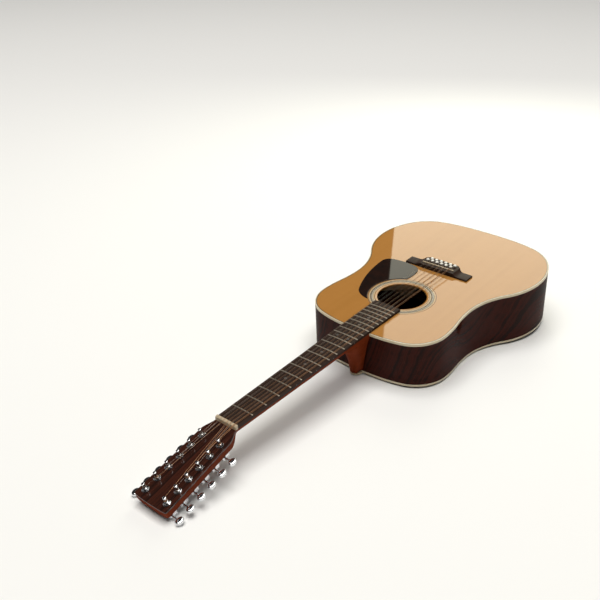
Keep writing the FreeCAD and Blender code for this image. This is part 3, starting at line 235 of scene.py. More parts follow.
def plate(outline: Sequence[Flat], low: float, high: float, edge: float) -> Sketch:
    """A flat plate with a rounded upper edge.

    Args:
        outline: the plate's outline, anticlockwise.
        low: height of its underside.
        high: height of its face.
        edge: radius of its upper edge.

    Returns:
        The plate's sketch.
    """
    count = len(outline)
    inward: list[Flat] = []
    for index, (x, y) in enumerate(outline):
        (x0, y0), (x1, y1) = outline[index - 1], outline[(index + 1) % count]
        length = math.hypot(x1 - x0, y1 - y0) or 1.0
        inward.append((-(y1 - y0) / length, (x1 - x0) / length))
    rings = [[(x, y, low) for x, y in outline]]
    arc = [math.radians(30.0 * step) for step in range(4)]
    curve = [(edge * (1.0 - math.cos(angle)), edge * (1.0 - math.sin(angle))) for angle in arc]
    curve.append((edge + SUPPORT_INSET, 0.0))
    for inset, drop in curve:
        rings.append([(x + nx * inset, y + ny * inset, high - drop)
                      for (x, y), (nx, ny) in zip(outline, inward)])
    return lofted(rings)


def block(size: Point, radius: float, centre: Point = (0.0, 0.0, 0.0), steps: int = 4) -> Sketch:
    """A block whose upright edges and both rims are rounded."""
    sketch = Sketch()
    half_x, half_y, half_z = (value / 2.0 for value in size)
    rings = []
    rim = min(radius, half_z) * 0.6
    levels = [(-half_z + rim * (1.0 - math.sin(a)), rim * (1.0 - math.cos(a)))
              for a in (math.radians(90.0 - 90.0 * k / steps) for k in range(steps + 1))]
    levels.insert(0, (-half_z, rim + min(0.2, 0.3 * (radius - rim))))
    levels += [(-z, inset) for z, inset in levels[::-1]]
    for z, inset in levels:
        ring = []
        for sx, sy, start in ((1, 1, 0.0), (-1, 1, 90.0), (-1, -1, 180.0), (1, -1, 270.0)):
            for k in range(steps + 1):
                angle = math.radians(start + 90.0 * k / steps)
                corner = max(radius - inset, 0.01)
                ring.append((centre[0] + sx * (half_x - radius) + corner * math.cos(angle),
                             centre[1] + sy * (half_y - radius) + corner * math.sin(angle), centre[2] + z))
        rings.append(ring)
    sketch.loft(rings)
    return sketch


# ---------------------------------------------------------------- the body's outline

@dataclass(frozen=True)
class BodyShape:
    """The outline and the domed back of the body, in millimetres."""

    length: float = 508.0
    lower_bout: float = 400.0
    waist: float = 281.0
    upper_bout: float = 300.0
    lower_station: float = 0.268
    waist_station: float = 0.634
    upper_station: float = 0.835
    tail_depth: float = 124.0
    neck_depth: float = 98.0
    back_radius: float = 4570.0
    step: float = 3.5

    def arcs(self) -> list[tuple[Flat, float, float, float]]:
        """Returns the treble half as tangent arcs: centre, signed radius, start angle and sweep."""
        stations = (
            (0.0, 0.0, 0.0),
            (0.28 * self.lower_bout, 0.02 * self.length, 13.0),
            (self.lower_bout / 2, self.lower_station * self.length, 90.0),
            (self.waist / 2, self.waist_station * self.length, 90.0),
            (self.upper_bout / 2, self.upper_station * self.length, 90.0),
            (0.325 * self.upper_bout, self.length - 11.0, 164.0),
            (0.0, self.length, 180.0),
        )
        made = []
        for (x0, y0, a0), (x1, y1, a1) in zip(stations, stations[1:]):
            made += self._pair(Vector((x0, y0)), math.radians(a0), Vector((x1, y1)), math.radians(a1))
        return made

    @staticmethod
    def _pair(start: Vector, heading: float, end: Vector, leaving: float) -> list[tuple[Flat, float, float, float]]:
        """Returns two tangent arcs between two points with set headings."""
        t0 = Vector((math.cos(heading), math.sin(heading)))
        t1 = Vector((math.cos(leaving), math.sin(leaving)))
        chord = end - start
        spread = 2.0 * (1.0 - t0.dot(t1))
        if spread < 1e-9:
            reach = chord.dot(chord) / (4.0 * chord.dot(t1))
        else:
            along = chord.dot(t0 + t1)
            reach = (math.sqrt(along * along + spread * chord.dot(chord)) - along) / spread
        near, far = start + t0 * reach, end - t1 * reach
        meet = (near + far) / 2.0
        arcs = []
        for point, tangent, target in ((start, t0, meet), (meet, (far - near).normalized(), end)):
            normal = Vector((-tangent.y, tangent.x))
            step = target - point
            radius = step.dot(step) / (2.0 * normal.dot(step))
            centre = point + normal * radius
            angle = math.atan2(point.y - centre.y, point.x - centre.x)
            sweep = 2.0 * math.atan2(normal.dot(step), tangent.dot(step))
            arcs.append(((centre.x, centre.y), radius, angle, sweep))
        return arcs

    def half(self, inset: float, step: float | None = None) -> list[Flat]:
        """Returns points of the treble half moved inwards, from the tail to the neck end."""
        points: list[Flat] = []
        for centre, radius, angle, sweep in self.arcs():
            count = max(3, round(abs(radius * sweep) / (step or self.step)))
            size = abs(radius) - inset * math.copysign(1.0, radius)
            for k in range(count):
                turn = angle + sweep * k / count
                points.append((centre[0] + size * math.cos(turn), centre[1] + size * math.sin(turn)))
        points.append((0.0, self.length - inset))
        points[0] = (0.0, points[0][1])
        return points

    def loop(self, inset: float, step: float | None = None) -> list[Flat]:
        """Returns the whole outline moved inwards, anticlockwise from the tail."""
        half = self.half(inset, step)
        return half + [(-x, y) for x, y in half[-2:0:-1]]

    def dome(self, x: float, y: float) -> float:
        """Returns the height of the back's outer face."""
        half_chord = math.hypot(self.length, self.tail_depth - self.neck_depth) / 2
        rise = math.sqrt(self.back_radius ** 2 - half_chord ** 2)
        lean = math.atan2(self.tail_depth - self.neck_depth, self.length)
        centre_y = self.length / 2 - math.sin(lean) * rise
        centre_z = -(self.tail_depth + self.neck_depth) / 2 + math.cos(lean) * rise
        return centre_z - math.sqrt(self.back_radius ** 2 - x * x - (y - centre_y) ** 2)

    def hoop(self, profile: Sequence[tuple[float, float]], from_back: bool = False,
             step: float | None = None) -> Sketch:
        """Sweeps a closed profile around the body.

        Args:
            profile: (inset, height) points; heights are above the soundboard's face.
            from_back: whether heights are above the back's outer face instead.
            step: spacing of the points along the outline.

        Returns:
            The hoop's sketch.
        """
        rings = []
        for inset, height in profile:
            rings.append([(x, y, (self.dome(x, y) if from_back else 0.0) + height)
                          for x, y in self.loop(inset, step)])
        return lofted(rings, around=True)


BODY = BodyShape()


# ---------------------------------------------------------------- shader writing

class Shade:
    """Writes the nodes of one material or of one node group."""

    def __init__(self, tree: bpy.types.NodeTree) -> None:
        """Starts on an empty tree."""
        self.tree = tree
        tree.nodes.clear()

    def add(self, kind: str, out: int | str = 0, settings: dict | None = None, **values) -> bpy.types.NodeSocket:
        """Adds a node.

        Args:
            kind: the node's type, without its "ShaderNode" prefix.
            out: the output to return.
            settings: the node's own settings.
            **values: a value or a socket for each input; "_" stands for a space, i0 for the first input.

        Returns:
            The chosen output socket.
        """
        node = self.tree.nodes.new("ShaderNode" + kind)
        for key, value in (settings or {}).items():
            setattr(node, key, value)
        self.feed(node, **values)
        return node.outputs[out] if node.outputs else node

    def feed(self, node: bpy.types.Node, **values) -> None:
        """Sets or links a node's inputs, which are named as in add."""
        for key, value in values.items():
            name = key.replace("_", " ")
            target = node.inputs[int(key[1:])] if key[1:].isdigit() else node.inputs[name]
            if isinstance(value, bpy.types.NodeSocket):
                self.tree.links.new(value, target)
            else:
                target.default_value = value

    def math(self, operation: str, first, second=0.0, clamp: bool = False) -> bpy.types.NodeSocket:
        """Adds a sum of one or two values."""
        return self.add("Math", settings={"operation": operation, "use_clamp": clamp}, i0=first, i1=second)

    def blend(self, share, first, second, mode: str = "MIX") -> bpy.types.NodeSocket:
        """Mixes two colours."""
        return self.add("Mix", 2, {"data_type": "RGBA", "blend_type": mode}, i0=share, i6=first, i7=second)

    def between(self, value, low: float, high: float, out_low: float = 0.0,
                out_high: float = 1.0) -> bpy.types.NodeSocket:
        """Maps a range of values onto another, clamped."""
        return self.add("MapRange", i0=value, i1=low, i2=high, i3=out_low, i4=out_high)

    def stretched(self, vector, scale: Point) -> bpy.types.NodeSocket:
        """Scales a vector along each axis."""
        return self.add("VectorMath", settings={"operation": "MULTIPLY"}, i0=vector, i1=scale)

    def noise(self, vector, detail: float = 2.0, rough: float = 0.5) -> bpy.types.NodeSocket:
        """Adds a noise texture over a vector that is already scaled."""
        return self.add("TexNoise", Vector=vector, Scale=1.0, Detail=detail, Roughness=rough)


def effect(name: str, inputs: dict, outputs: Sequence[str],
           write: Callable[[Shade, dict], dict]) -> bpy.types.NodeTree:
    """A shared effect: a node group that is written once and used by many materials.

    Args:
        name: the group's name.
        inputs: each input's name with its default value.
        outputs: output names; one ending in "Colour" carries a colour, the rest carry values.
        write: a function that writes the nodes and returns a socket for each output.

    Returns:
        The node group.
    """
    if name in bpy.data.node_groups:
        return bpy.data.node_groups[name]
    tree = bpy.data.node_groups.new(name, "ShaderNodeTree")
    for label, value in inputs.items():
        kind = "Float" if isinstance(value, float) else ("Vector" if len(value) == 3 else "Color")
        made = tree.interface.new_socket(label, in_out="INPUT", socket_type="NodeSocket" + kind)
        made.default_value = value
    for label in outputs:
        kind = "Color" if label.endswith("Colour") else "Float"
        tree.interface.new_socket(label, in_out="OUTPUT", socket_type="NodeSocket" + kind)
    shade = Shade(tree)
    start, end = tree.nodes.new("NodeGroupInput"), tree.nodes.new("NodeGroupOutput")
    made = write(shade, {label: start.outputs[label] for label in inputs})
    for label, socket in made.items():
        tree.links.new(socket, end.inputs[label])
    return tree


def wood_effect() -> bpy.types.NodeTree:
    """Grain lines along y, with slow wander, streaks of a darker colour and fine pores."""
    def write(s: Shade, given: dict) -> dict:
        """Writes the grain."""
        place = given["Vector"]
        drift = s.noise(s.stretched(place, (0.012, 0.0035, 0.02)), 1.0)
        drift = s.math("MULTIPLY", s.math("SUBTRACT", drift, 0.5), given["Wander"])
        split = s.add("SeparateXYZ", "X", i0=place)
        leaning = s.math("MULTIPLY", split.node.outputs["Z"], given["Slope"])
        across = s.math("ADD", s.math("ADD", split, leaning), drift)
        ring = s.add("TexNoise", settings={"noise_dimensions": "1D"}, W=s.math("DIVIDE", across, given["Spacing"]),
                     Scale=1.0, Detail=2.0, Roughness=0.65)
        line = s.between(ring, 0.38, 0.66)
        broad = s.add("TexNoise", settings={"noise_dimensions": "1D"},
                      W=s.math("MULTIPLY", across, given["Streak Density"]), Scale=1.0, Detail=3.0, Roughness=0.6)
        broad = s.math("ADD", broad, s.math("MULTIPLY", s.math("SUBTRACT", s.noise(
            s.stretched(place, (0.09, 0.006, 0.09)), 3.0), 0.5), 0.35))
        streak = s.math("MULTIPLY", s.between(broad, 0.46, 0.64), given["Streaks"])
        fibre = s.noise(s.stretched(place, (5.0, 0.16, 5.0)), 2.0, 0.6)
        pore = s.math("MULTIPLY", s.between(fibre, 0.60, 0.72), given["Pores"])
        tone = s.blend(s.math("MULTIPLY", line, given["Contrast"]), given["Light Colour"], given["Dark Colour"])
        tone = s.blend(streak, tone, given["Streak Colour"])
        silk = s.noise(s.stretched(place, (0.02, 0.05, 0.02)), 2.0)
        tone = s.blend(s.math("MULTIPLY", s.between(silk, 0.35, 0.7), given["Silk"]), tone, given["Light Colour"])
        tone = s.blend(pore, tone, s.blend(1.0, tone, (0.25, 0.2, 0.18, 1.0), "MULTIPLY"))
        height = s.math("SUBTRACT", s.math("MULTIPLY", line, -0.3), s.math("MULTIPLY", pore, 0.7))
        return {"Colour": tone, "Height": height, "Line": line}
    white = (1.0, 1.0, 1.0, 1.0)
    return effect("wood_grain", {"Vector": (0.0, 0.0, 0.0), "Spacing": 1.0, "Wander": 4.0, "Slope": 0.05,
                                 "Contrast": 0.5, "Streaks": 0.0, "Streak Density": 0.08, "Pores": 0.3,
                                 "Silk": 0.15, "Light Colour": white, "Dark Colour": white,
                                 "Streak Colour": white}, ("Colour", "Height", "Line"), write)


def wear_effect() -> bpy.types.NodeTree:
    """Handling marks: soft smears for the gloss, fine hairlines and a few specks."""
    def write(s: Shade, given: dict) -> dict:
        """Writes the marks."""
        place = s.add("VectorMath", settings={"operation": "SCALE"}, i0=given["Vector"], Scale=given["Scale"])
        smear = s.between(s.noise(place, 4.0, 0.55), 0.4, 0.75)
        rubbed = s.stretched(place, (9.0, 1.3, 6.0))
        hair = s.between(s.noise(rubbed, 2.0, 0.4), 0.62, 0.68)
        cells = s.add("TexVoronoi", "Distance", i0=s.stretched(place, (5.0, 5.0, 5.0)))
        speck = s.between(cells, 0.0, 0.08, 1.0, 0.0)
        both = s.math("ADD", s.math("MULTIPLY", smear, 0.7), s.math("MULTIPLY", hair, 0.3), clamp=True)
        return {"Smear": s.math("MULTIPLY", both, given["Amount"]),
                "Height": s.math("MULTIPLY", s.math("ADD", hair, speck), given["Amount"])}
    return effect("handling_wear", {"Vector": (0.0, 0.0, 0.0), "Scale": 0.02, "Amount": 1.0},
                  ("Smear", "Height"), write)


def winding_effect() -> bpy.types.NodeTree:
    """The turns of a wound string, across its length, with a mask for painted shade in the gaps between turns."""
    def write(s: Shade, given: dict) -> dict:
        """Writes the turns."""
        along = s.add("SeparateXYZ", "Y", i0=given["Vector"])
        turn = s.math("FRACT", s.math("DIVIDE", along, given["Pitch"]))
        bulge = s.math("SINE", s.math("MULTIPLY", turn, math.pi))
        # the gap mask is painted shade: it darkens the colour between the turns of the winding
        return {"Height": bulge, "Painted Gap Shade": s.between(bulge, 0.0, 0.45, 1.0, 0.0)}
    return effect("winding", {"Vector": (0.0, 0.0, 0.0), "Pitch": 0.35}, ("Height", "Painted Gap Shade"), write)


def band_effect() -> bpy.types.NodeTree:
    """Fine rings of two colours around a centre, as in an inlaid rosette band."""
    def write(s: Shade, given: dict) -> dict:
        """Writes the rings."""
        away = s.add("VectorMath", settings={"operation": "SUBTRACT"}, i0=given["Vector"], i1=given["Centre"])
        away = s.stretched(away, (1.0, 1.0, 0.0))
        reach = s.add("VectorMath", "Value", {"operation": "LENGTH"}, i0=away)
        share = s.math("FRACT", s.math("DIVIDE", s.math("SUBTRACT", reach, given["Start"]), given["Pitch"]))
        line = s.between(s.math("ABSOLUTE", s.math("SUBTRACT", share, 0.5)), 0.16, 0.24)
        return {"Colour": s.blend(line, given["Light Colour"], given["Dark Colour"]), "Line": line}
    white = (1.0, 1.0, 1.0, 1.0)
    return effect("ring_band", {"Vector": (0.0, 0.0, 0.0), "Centre": (0.0, 0.0, 0.0), "Start": 59.7, "Pitch": 1.2,
                                "Light Colour": white, "Dark Colour": white}, ("Colour", "Line"), write)


def metal_effect() -> bpy.types.NodeTree:
    """Polishing lines and cloudy tarnish on metal."""
    def write(s: Shade, given: dict) -> dict:
        """Writes the lines and the tarnish."""
        lines = s.noise(s.stretched(given["Vector"], (7.0, 0.8, 7.0)), 3.0, 0.6)
        cloud = s.between(s.noise(s.stretched(given["Vector"], (0.25, 0.25, 0.25)), 4.0, 0.6), 0.42, 0.72)
        return {"Lines": lines, "Tarnish": s.math("MULTIPLY", cloud, given["Amount"])}
    return effect("polished_metal", {"Vector": (0.0, 0.0, 0.0), "Amount": 0.3}, ("Lines", "Tarnish"), write)


# ---------------------------------------------------------------- finishes

def colour(red: float, green: float, blue: float) -> tuple[float, float, float, float]:
    """A colour from its three linear shares."""
    return (red, green, blue, 1.0)


@dataclass(frozen=True)
class Finish:
    """What every finish shares.

    Attributes:
        name: the material's name.
        slot: the record's material slot that it stands for; not used.
        wear: how strong the handling marks are.
    """

    name: str
    slot: str
    wear: float = 0.5

    def material(self) -> bpy.types.Material:
        """Returns the finish's material, written the first time that it is asked for."""
        if self.name in bpy.data.materials:
            return bpy.data.materials[self.name]
        made = bpy.data.materials.new(self.name)
        made.use_nodes = True
        shade = Shade(made.node_tree)
        place = shade.add("TexCoord", "Object")
        bench = BENCH.matrix()
        place = shade.add("Mapping", settings={"vector_type": "TEXTURE"}, Vector=place,
                          Location=bench.to_translation(), Rotation=bench.to_euler(), Scale=(MM, MM, MM))
        marks = self.group(shade, wear_effect(), Vector=place, Amount=self.wear)
        bsdf = shade.add("BsdfPrincipled")
        out = made.node_tree.nodes.new("ShaderNodeOutputMaterial")
        made.node_tree.links.new(bsdf, out.inputs["Surface"])
        self.paint(shade, bsdf.node, place, marks)
        return made

    @staticmethod
    def group(shade: Shade, tree: bpy.types.NodeTree, **values) -> dict:
        """Adds a shared effect and returns its outputs by name."""
        node = shade.tree.nodes.new("ShaderNodeGroup")
        node.node_tree = tree
        shade.feed(node, **values)
        return {socket.name: socket for socket in node.outputs}

    def paint(self, shade: Shade, bsdf: bpy.types.Node, place, marks: dict) -> None:
        """Writes what is special to the finish."""
        raise NotImplementedError


class Coat(Enum):
    """How a wooden surface is finished: coat weight, coat roughness, bare roughness and bare shine."""

    GLOSS = (1.0, 0.03, 0.42, 0.0)
    THIN = (0.16, 0.06, 0.5, 0.0)
    SATIN = (0.12, 0.28, 0.5, 0.0)
    OILED = (0.0, 0.3, 0.42, 0.12)
    BARE = (0.0, 0.5, 0.75, 0.1)


@dataclass(frozen=True)
class Wood(Finish):
    """A wood with its grain along y.

    Attributes:
        light: colour between the grain lines.
        dark: colour of the grain lines.
        streak: colour of the streaks.
        spacing: size of the grain in millimetres.
        wander: how far the lines drift in millimetres.
        slope: sideways shift of the grain with depth.
        contrast: strength of the grain lines.
        streaks: strength of the streaks.
        density: streaks for each millimetre.
        pores: strength of the pores.
        silk: strength of the cross silk.
        coat: how the surface is finished.
    """

    light: tuple = colour(0.5, 0.3, 0.12)
    dark: tuple = colour(0.3, 0.15, 0.05)
    streak: tuple = colour(0.1, 0.04, 0.02)
    spacing: float = 1.0
    wander: float = 4.0
    slope: float = 0.05
    contrast: float = 0.5
    streaks: float = 0.0
    density: float = 0.08
    pores: float = 0.3
    silk: float = 0.15
    coat: Coat = Coat.GLOSS

    def paint(self, shade: Shade, bsdf: bpy.types.Node, place, marks: dict) -> None:
        """Writes the grain under its coat."""
        grain = self.group(shade, wood_effect(), Vector=place, Spacing=self.spacing, Wander=self.wander,
                           Slope=self.slope, Contrast=self.contrast, Streaks=self.streaks,
                           Streak_Density=self.density, Pores=self.pores, Silk=self.silk,
                           Light_Colour=self.light, Dark_Colour=self.dark, Streak_Colour=self.streak)
        weight, coat_rough, rough, shine = self.coat.value
        bump = shade.add("Bump", Strength=0.25 if weight < 0.9 else 0.12, Distance=0.0001, Height=grain["Height"])
        coat_bump = shade.add("Bump", Strength=0.05, Distance=0.00005, Height=marks["Height"])
        shade.feed(bsdf, Base_Color=grain["Colour"], Normal=bump, Coat_Weight=weight, Coat_IOR=1.52,
                  Coat_Roughness=coat_rough, Coat_Normal=coat_bump,
                  Roughness=shade.math("ADD", shade.math("MULTIPLY", marks["Smear"], 0.15), rough),
                  Specular_IOR_Level=shine)


@dataclass(frozen=True)
class Smooth(Finish):
    """A plastic, bone or shell finish with soft clouds of a second colour.

    Attributes:
        base: main colour.
        cloud: colour of the clouds.
        clouds: strength of the clouds.
        size: clouds for each millimetre.
        rough: roughness.
        under: light that scatters under the surface.
        coat: weight of a clear coat.
    """

    base: tuple = colour(0.8, 0.8, 0.8)
    cloud: tuple = colour(0.6, 0.6, 0.6)
    clouds: float = 0.4
    size: float = 0.1
    rough: float = 0.3
    under: float = 0.0
    coat: float = 0.0

    def paint(self, shade: Shade, bsdf: bpy.types.Node, place, marks: dict) -> None:
        """Writes the clouds and the worn gloss."""
        clouds = shade.noise(shade.stretched(place, (self.size,) * 3), 3.0, 0.6)
        share = shade.math("MULTIPLY", shade.between(clouds, 0.35, 0.7), self.clouds)
        bump = shade.add("Bump", Strength=0.06, Distance=0.00005, Height=marks["Height"])
        shade.feed(bsdf, Base_Color=shade.blend(share, self.base, self.cloud), Normal=bump,
                  Roughness=shade.math("ADD", shade.math("MULTIPLY", marks["Smear"], 0.12), self.rough),
                  Subsurface_Weight=self.under, Subsurface_Radius=(0.001, 0.0007, 0.0005), Coat_Weight=self.coat,
                  Coat_Roughness=0.03, Specular_IOR_Level=max(0.0, 0.5 - self.coat))


@dataclass(frozen=True)
class Metal(Finish):
    """A metal with polishing lines and slight tarnish.

    Attributes:
        base: colour of the bright metal.
        dull: colour of the tarnish.
        tarnish: strength of the tarnish.
        rough: roughness.
        pitch: turns of winding in millimetres, or zero for a plain surface.
    """

    base: tuple = colour(0.75, 0.75, 0.75)
    dull: tuple = colour(0.4, 0.4, 0.4)
    tarnish: float = 0.3
    rough: float = 0.2
    pitch: float = 0.0

    def paint(self, shade: Shade, bsdf: bpy.types.Node, place, marks: dict) -> None:
        """Writes the polish, the tarnish and any winding, with painted shade in the winding's gaps."""
        polish = self.group(shade, metal_effect(), Vector=place, Amount=self.tarnish)
        tone = shade.blend(polish["Tarnish"], self.base, self.dull)
        height = polish["Lines"]
        if self.pitch:
            turns = self.group(shade, winding_effect(), Vector=place, Pitch=self.pitch)
            # painted shade: the colour is darkened in the gaps between the turns
            tone = shade.blend(turns["Painted Gap Shade"], tone, shade.blend(1.0, tone, colour(0.25, 0.2, 0.15), "MULTIPLY"))
            height = shade.math("ADD", shade.math("MULTIPLY", height, 0.1), turns["Height"])
        bump = shade.add("Bump", Strength=0.3 if self.pitch else 0.03, Distance=0.0001, Height=height)
        rough = shade.math("ADD", shade.math("MULTIPLY", marks["Smear"], 0.15), self.rough)
        shade.feed(bsdf, Base_Color=tone, Metallic=1.0, Normal=bump,
                  Roughness=shade.math("ADD", rough, shade.math("MULTIPLY", polish["Tarnish"], 0.2)))


@dataclass(frozen=True)
class Band(Finish):
    """An inlaid band of fine rings around the soundhole."""

    light: tuple = colour(0.5, 0.5, 0.45)
    dark: tuple = colour(0.05, 0.05, 0.05)
    centre: Point = (0.0, 354.0, 0.0)
    pitch: float = 1.2

    def paint(self, shade: Shade, bsdf: bpy.types.Node, place, marks: dict) -> None:
        """Writes the rings under the gloss."""
        rings = self.group(shade, band_effect(), Vector=place, Centre=self.centre, Pitch=self.pitch,
                           Light_Colour=self.light, Dark_Colour=self.dark)
        shade.feed(bsdf, Base_Color=rings["Colour"], Coat_Weight=1.0, Coat_Roughness=0.03,
                  Specular_IOR_Level=0.0,
                  Roughness=shade.math("ADD", shade.math("MULTIPLY", marks["Smear"], 0.1), 0.4))


SPRUCE = Wood("spruce_gloss", "spruce_top", wear=0.4, light=colour(0.405, 0.186, 0.046),
              dark=colour(0.30, 0.130, 0.026), streak=colour(0.32, 0.142, 0.030), spacing=1.1,
              wander=3.0, slope=0.02, contrast=0.5, streaks=0.3, density=0.02, pores=0.05, silk=0.25)
ROSEWOOD = Wood("rosewood_gloss", "rosewood_body", wear=0.4, light=colour(0.042, 0.0065, 0.003),
                dark=colour(0.024, 0.0045, 0.0025), streak=colour(0.009, 0.003, 0.002), spacing=1.6,
                wander=16.0, slope=0.35, contrast=0.7, streaks=0.85, density=0.09, pores=0.5,
                silk=0.05, coat=Coat.THIN)
MAHOGANY = Wood("mahogany_satin", "mahogany_neck", wear=0.5, light=colour(0.18, 0.030, 0.008),
                dark=colour(0.115, 0.019, 0.005), streak=colour(0.070, 0.011, 0.003), spacing=1.3,
                wander=8.0, slope=0.4, contrast=0.5, streaks=0.4, density=0.05, pores=0.6, silk=0.2,
                coat=Coat.SATIN)
EBONY = Wood("dark_board_oiled", "dark_board", wear=0.6, light=colour(0.034, 0.017, 0.011),
             dark=colour(0.020, 0.010, 0.007), streak=colour(0.009, 0.006, 0.005), spacing=0.9,
             wander=5.0, slope=0.2, contrast=0.6, streaks=0.5, density=0.12, pores=0.6, silk=0.05,
             coat=Coat.OILED)
VENEER = Wood("head_veneer_gloss", "head_veneer", wear=0.4, light=colour(0.050, 0.014, 0.008),
              dark=colour(0.026, 0.008, 0.005), streak=colour(0.010, 0.005, 0.004), spacing=1.4,
              wander=12.0, slope=0.2, contrast=0.7, streaks=0.8, density=0.11, pores=0.5, silk=0.05)
INSIDE = Wood("spruce_bare", "spruce_inside", wear=0.5, light=colour(0.62, 0.44, 0.26),
              dark=colour(0.50, 0.33, 0.18), streak=colour(0.44, 0.28, 0.14), spacing=1.5, wander=2.0,
              slope=0.3, contrast=0.6, streaks=0.2, density=0.05, pores=0.1, silk=0.2, coat=Coat.BARE)
BLOCKWOOD = Wood("mahogany_bare", "mahogany_neck", wear=0.5, light=colour(0.30, 0.125, 0.06),
                 dark=colour(0.2, 0.075, 0.035), streak=colour(0.14, 0.05, 0.02), spacing=1.3,
                 wander=8.0, slope=0.4, contrast=0.5, streaks=0.4, density=0.05, pores=0.6, silk=0.2,
                 coat=Coat.BARE)
PLATEWOOD = Wood("rosewood_bare", "rosewood_body", wear=0.5, light=colour(0.11, 0.04, 0.02),
                 dark=colour(0.06, 0.02, 0.012), streak=colour(0.03, 0.012, 0.008), spacing=1.6,
                 wander=12.0, slope=0.3, contrast=0.7, streaks=0.7, density=0.09, pores=0.5, silk=0.05,
                 coat=Coat.BARE)
CREAM = Smooth("binding_cream", "cream_binding", wear=0.4, base=colour(0.62, 0.54, 0.38),
               cloud=colour(0.52, 0.42, 0.26), clouds=0.5, size=0.04, rough=0.25, under=0.1, coat=1.0)
LINE_DARK = Smooth("line_dark", "inlay_lines", wear=0.4, base=colour(0.012, 0.009, 0.007),
                   cloud=colour(0.03, 0.02, 0.014), clouds=0.4, size=0.3, rough=0.3, under=0.0,
                   coat=1.0)
LINE_LIGHT = Smooth("line_light", "inlay_lines", wear=0.4, base=colour(0.20, 0.15, 0.09),
                    cloud=colour(0.11, 0.07, 0.04), clouds=0.6, size=0.8, rough=0.3, under=0.0,
                    coat=1.0)
ROSETTE_DARK = Smooth("rosette_dark", "rosette_inlay", wear=0.4, base=colour(0.03, 0.02, 0.015),
                      cloud=colour(0.06, 0.035, 0.02), clouds=0.4, size=0.3, rough=0.3, under=0.0,
                      coat=1.0)
ROSETTE_LIGHT = Smooth("rosette_light", "rosette_inlay", wear=0.4, base=colour(0.42, 0.31, 0.17),
                       cloud=colour(0.30, 0.19, 0.09), clouds=0.5, size=0.5, rough=0.3, under=0.0,
                       coat=1.0)
ROSETTE_BAND = Band("rosette_band", "rosette_inlay", wear=0.4, light=colour(0.34, 0.27, 0.18),
                    dark=colour(0.045, 0.035, 0.03))
TORTOISE = Smooth("pickguard_gloss", "pickguard_black", wear=0.7, base=colour(0.010, 0.006, 0.005),
                  cloud=colour(0.028, 0.010, 0.006), clouds=0.5, size=0.06, rough=0.3, under=0.0,
                  coat=0.55)
SHELL = Smooth("shell_dot", "pearl", wear=0.4, base=colour(0.14, 0.13, 0.12),
               cloud=colour(0.08, 0.09, 0.09), clouds=0.8, size=0.7, rough=0.4, under=0.0, coat=0.3)
BONE = Smooth("bone_polished", "bone", wear=0.5, base=colour(0.50, 0.40, 0.27),
              cloud=colour(0.38, 0.28, 0.17), clouds=0.5, size=0.3, rough=0.3, under=0.1, coat=0.0)
PIN_WHITE = Smooth("pin_white", "white_pin", wear=0.4, base=colour(0.82, 0.80, 0.74),
                   cloud=colour(0.74, 0.70, 0.60), clouds=0.4, size=0.3, rough=0.2, under=0.1,
                   coat=0.0)
# painted shade: a near-black finish for the bars and plugs that stand in for the shaded hollows of screw slots and post
# eyes
HOLE_SHADE = Smooth("painted_hole_shade", "chrome", wear=0.2, base=colour(0.012, 0.012, 0.012),
              cloud=colour(0.02, 0.02, 0.02), clouds=0.3, size=0.5, rough=0.5)
FRET_METAL = Metal("fret_nickel", "nickel_silver", wear=0.5, base=colour(0.50, 0.45, 0.37),
                   dull=colour(0.32, 0.26, 0.19), tarnish=0.4, rough=0.3)
BRONZE = Metal("bronze_winding", "bronze_wire", wear=0.4, base=colour(0.36, 0.19, 0.10),
               dull=colour(0.18, 0.09, 0.05), tarnish=0.45, rough=0.34, pitch=0.42)
STEEL = Metal("string_steel", "plain_steel", wear=0.4, base=colour(0.30, 0.25, 0.21),
              dull=colour(0.18, 0.14, 0.11), tarnish=0.4, rough=0.32)
CHROME = Metal("chrome_plate", "chrome", wear=0.35, base=colour(0.80, 0.81, 0.83),
               dull=colour(0.45, 0.44, 0.42), tarnish=0.12, rough=0.05)
ROD_STEEL = Metal("rod_bare_steel", "rod_steel", wear=0.6, base=colour(0.42, 0.41, 0.40),
                  dull=colour(0.16, 0.13, 0.11), tarnish=0.5, rough=0.35)


# ---------------------------------------------------------------- shared shapes

def ramp(low: float, high: float, value: float) -> float:
    """Returns 0 below low, 1 above high and a smooth rise between them."""
    share = min(max((value - low) / (high - low), 0.0), 1.0)
    return share * share * (3.0 - 2.0 * share)


def spread(low: float, high: float, count: int) -> list[float]:
    """Returns evenly spaced values, both ends included."""
    return [low + (high - low) * k / (count - 1) for k in range(count)]


def arc_through(first: Flat, middle: Flat, last: Flat, step: float = 3.0) -> list[Flat]:
    """Returns points of the arc through three points, without its last point."""
    (ax, ay), (bx, by), (cx, cy) = first, middle, last
    twice = 2.0 * (ax * (by - cy) + bx * (cy - ay) + cx * (ay - by))
    squares = [x * x + y * y for x, y in (first, middle, last)]
    ux = (squares[0] * (by - cy) + squares[1] * (cy - ay) + squares[2] * (ay - by)) / twice
    uy = (squares[0] * (cx - bx) + squares[1] * (ax - cx) + squares[2] * (bx - ax)) / twice
    start, half, end = (math.atan2(y - uy, x - ux) for x, y in (first, middle, last))
    sweep = (end - start) % math.tau
    if (half - start) % math.tau > sweep:
        sweep -= math.tau
    radius = math.hypot(ax - ux, ay - uy)
    count = max(3, round(abs(sweep) * radius / step))
    return [(ux + radius * math.cos(start + sweep * k / count), uy + radius * math.sin(start + sweep * k / count))
            for k in range(count)]


def anticlockwise(points: Sequence[Flat]) -> list[Flat]:
    """Returns the outline in anticlockwise order."""
    area = sum(x0 * y1 - x1 * y0 for (x0, y0), (x1, y1) in zip(points, list(points[1:]) + [points[0]]))
    return list(points) if area > 0 else list(points)[::-1]


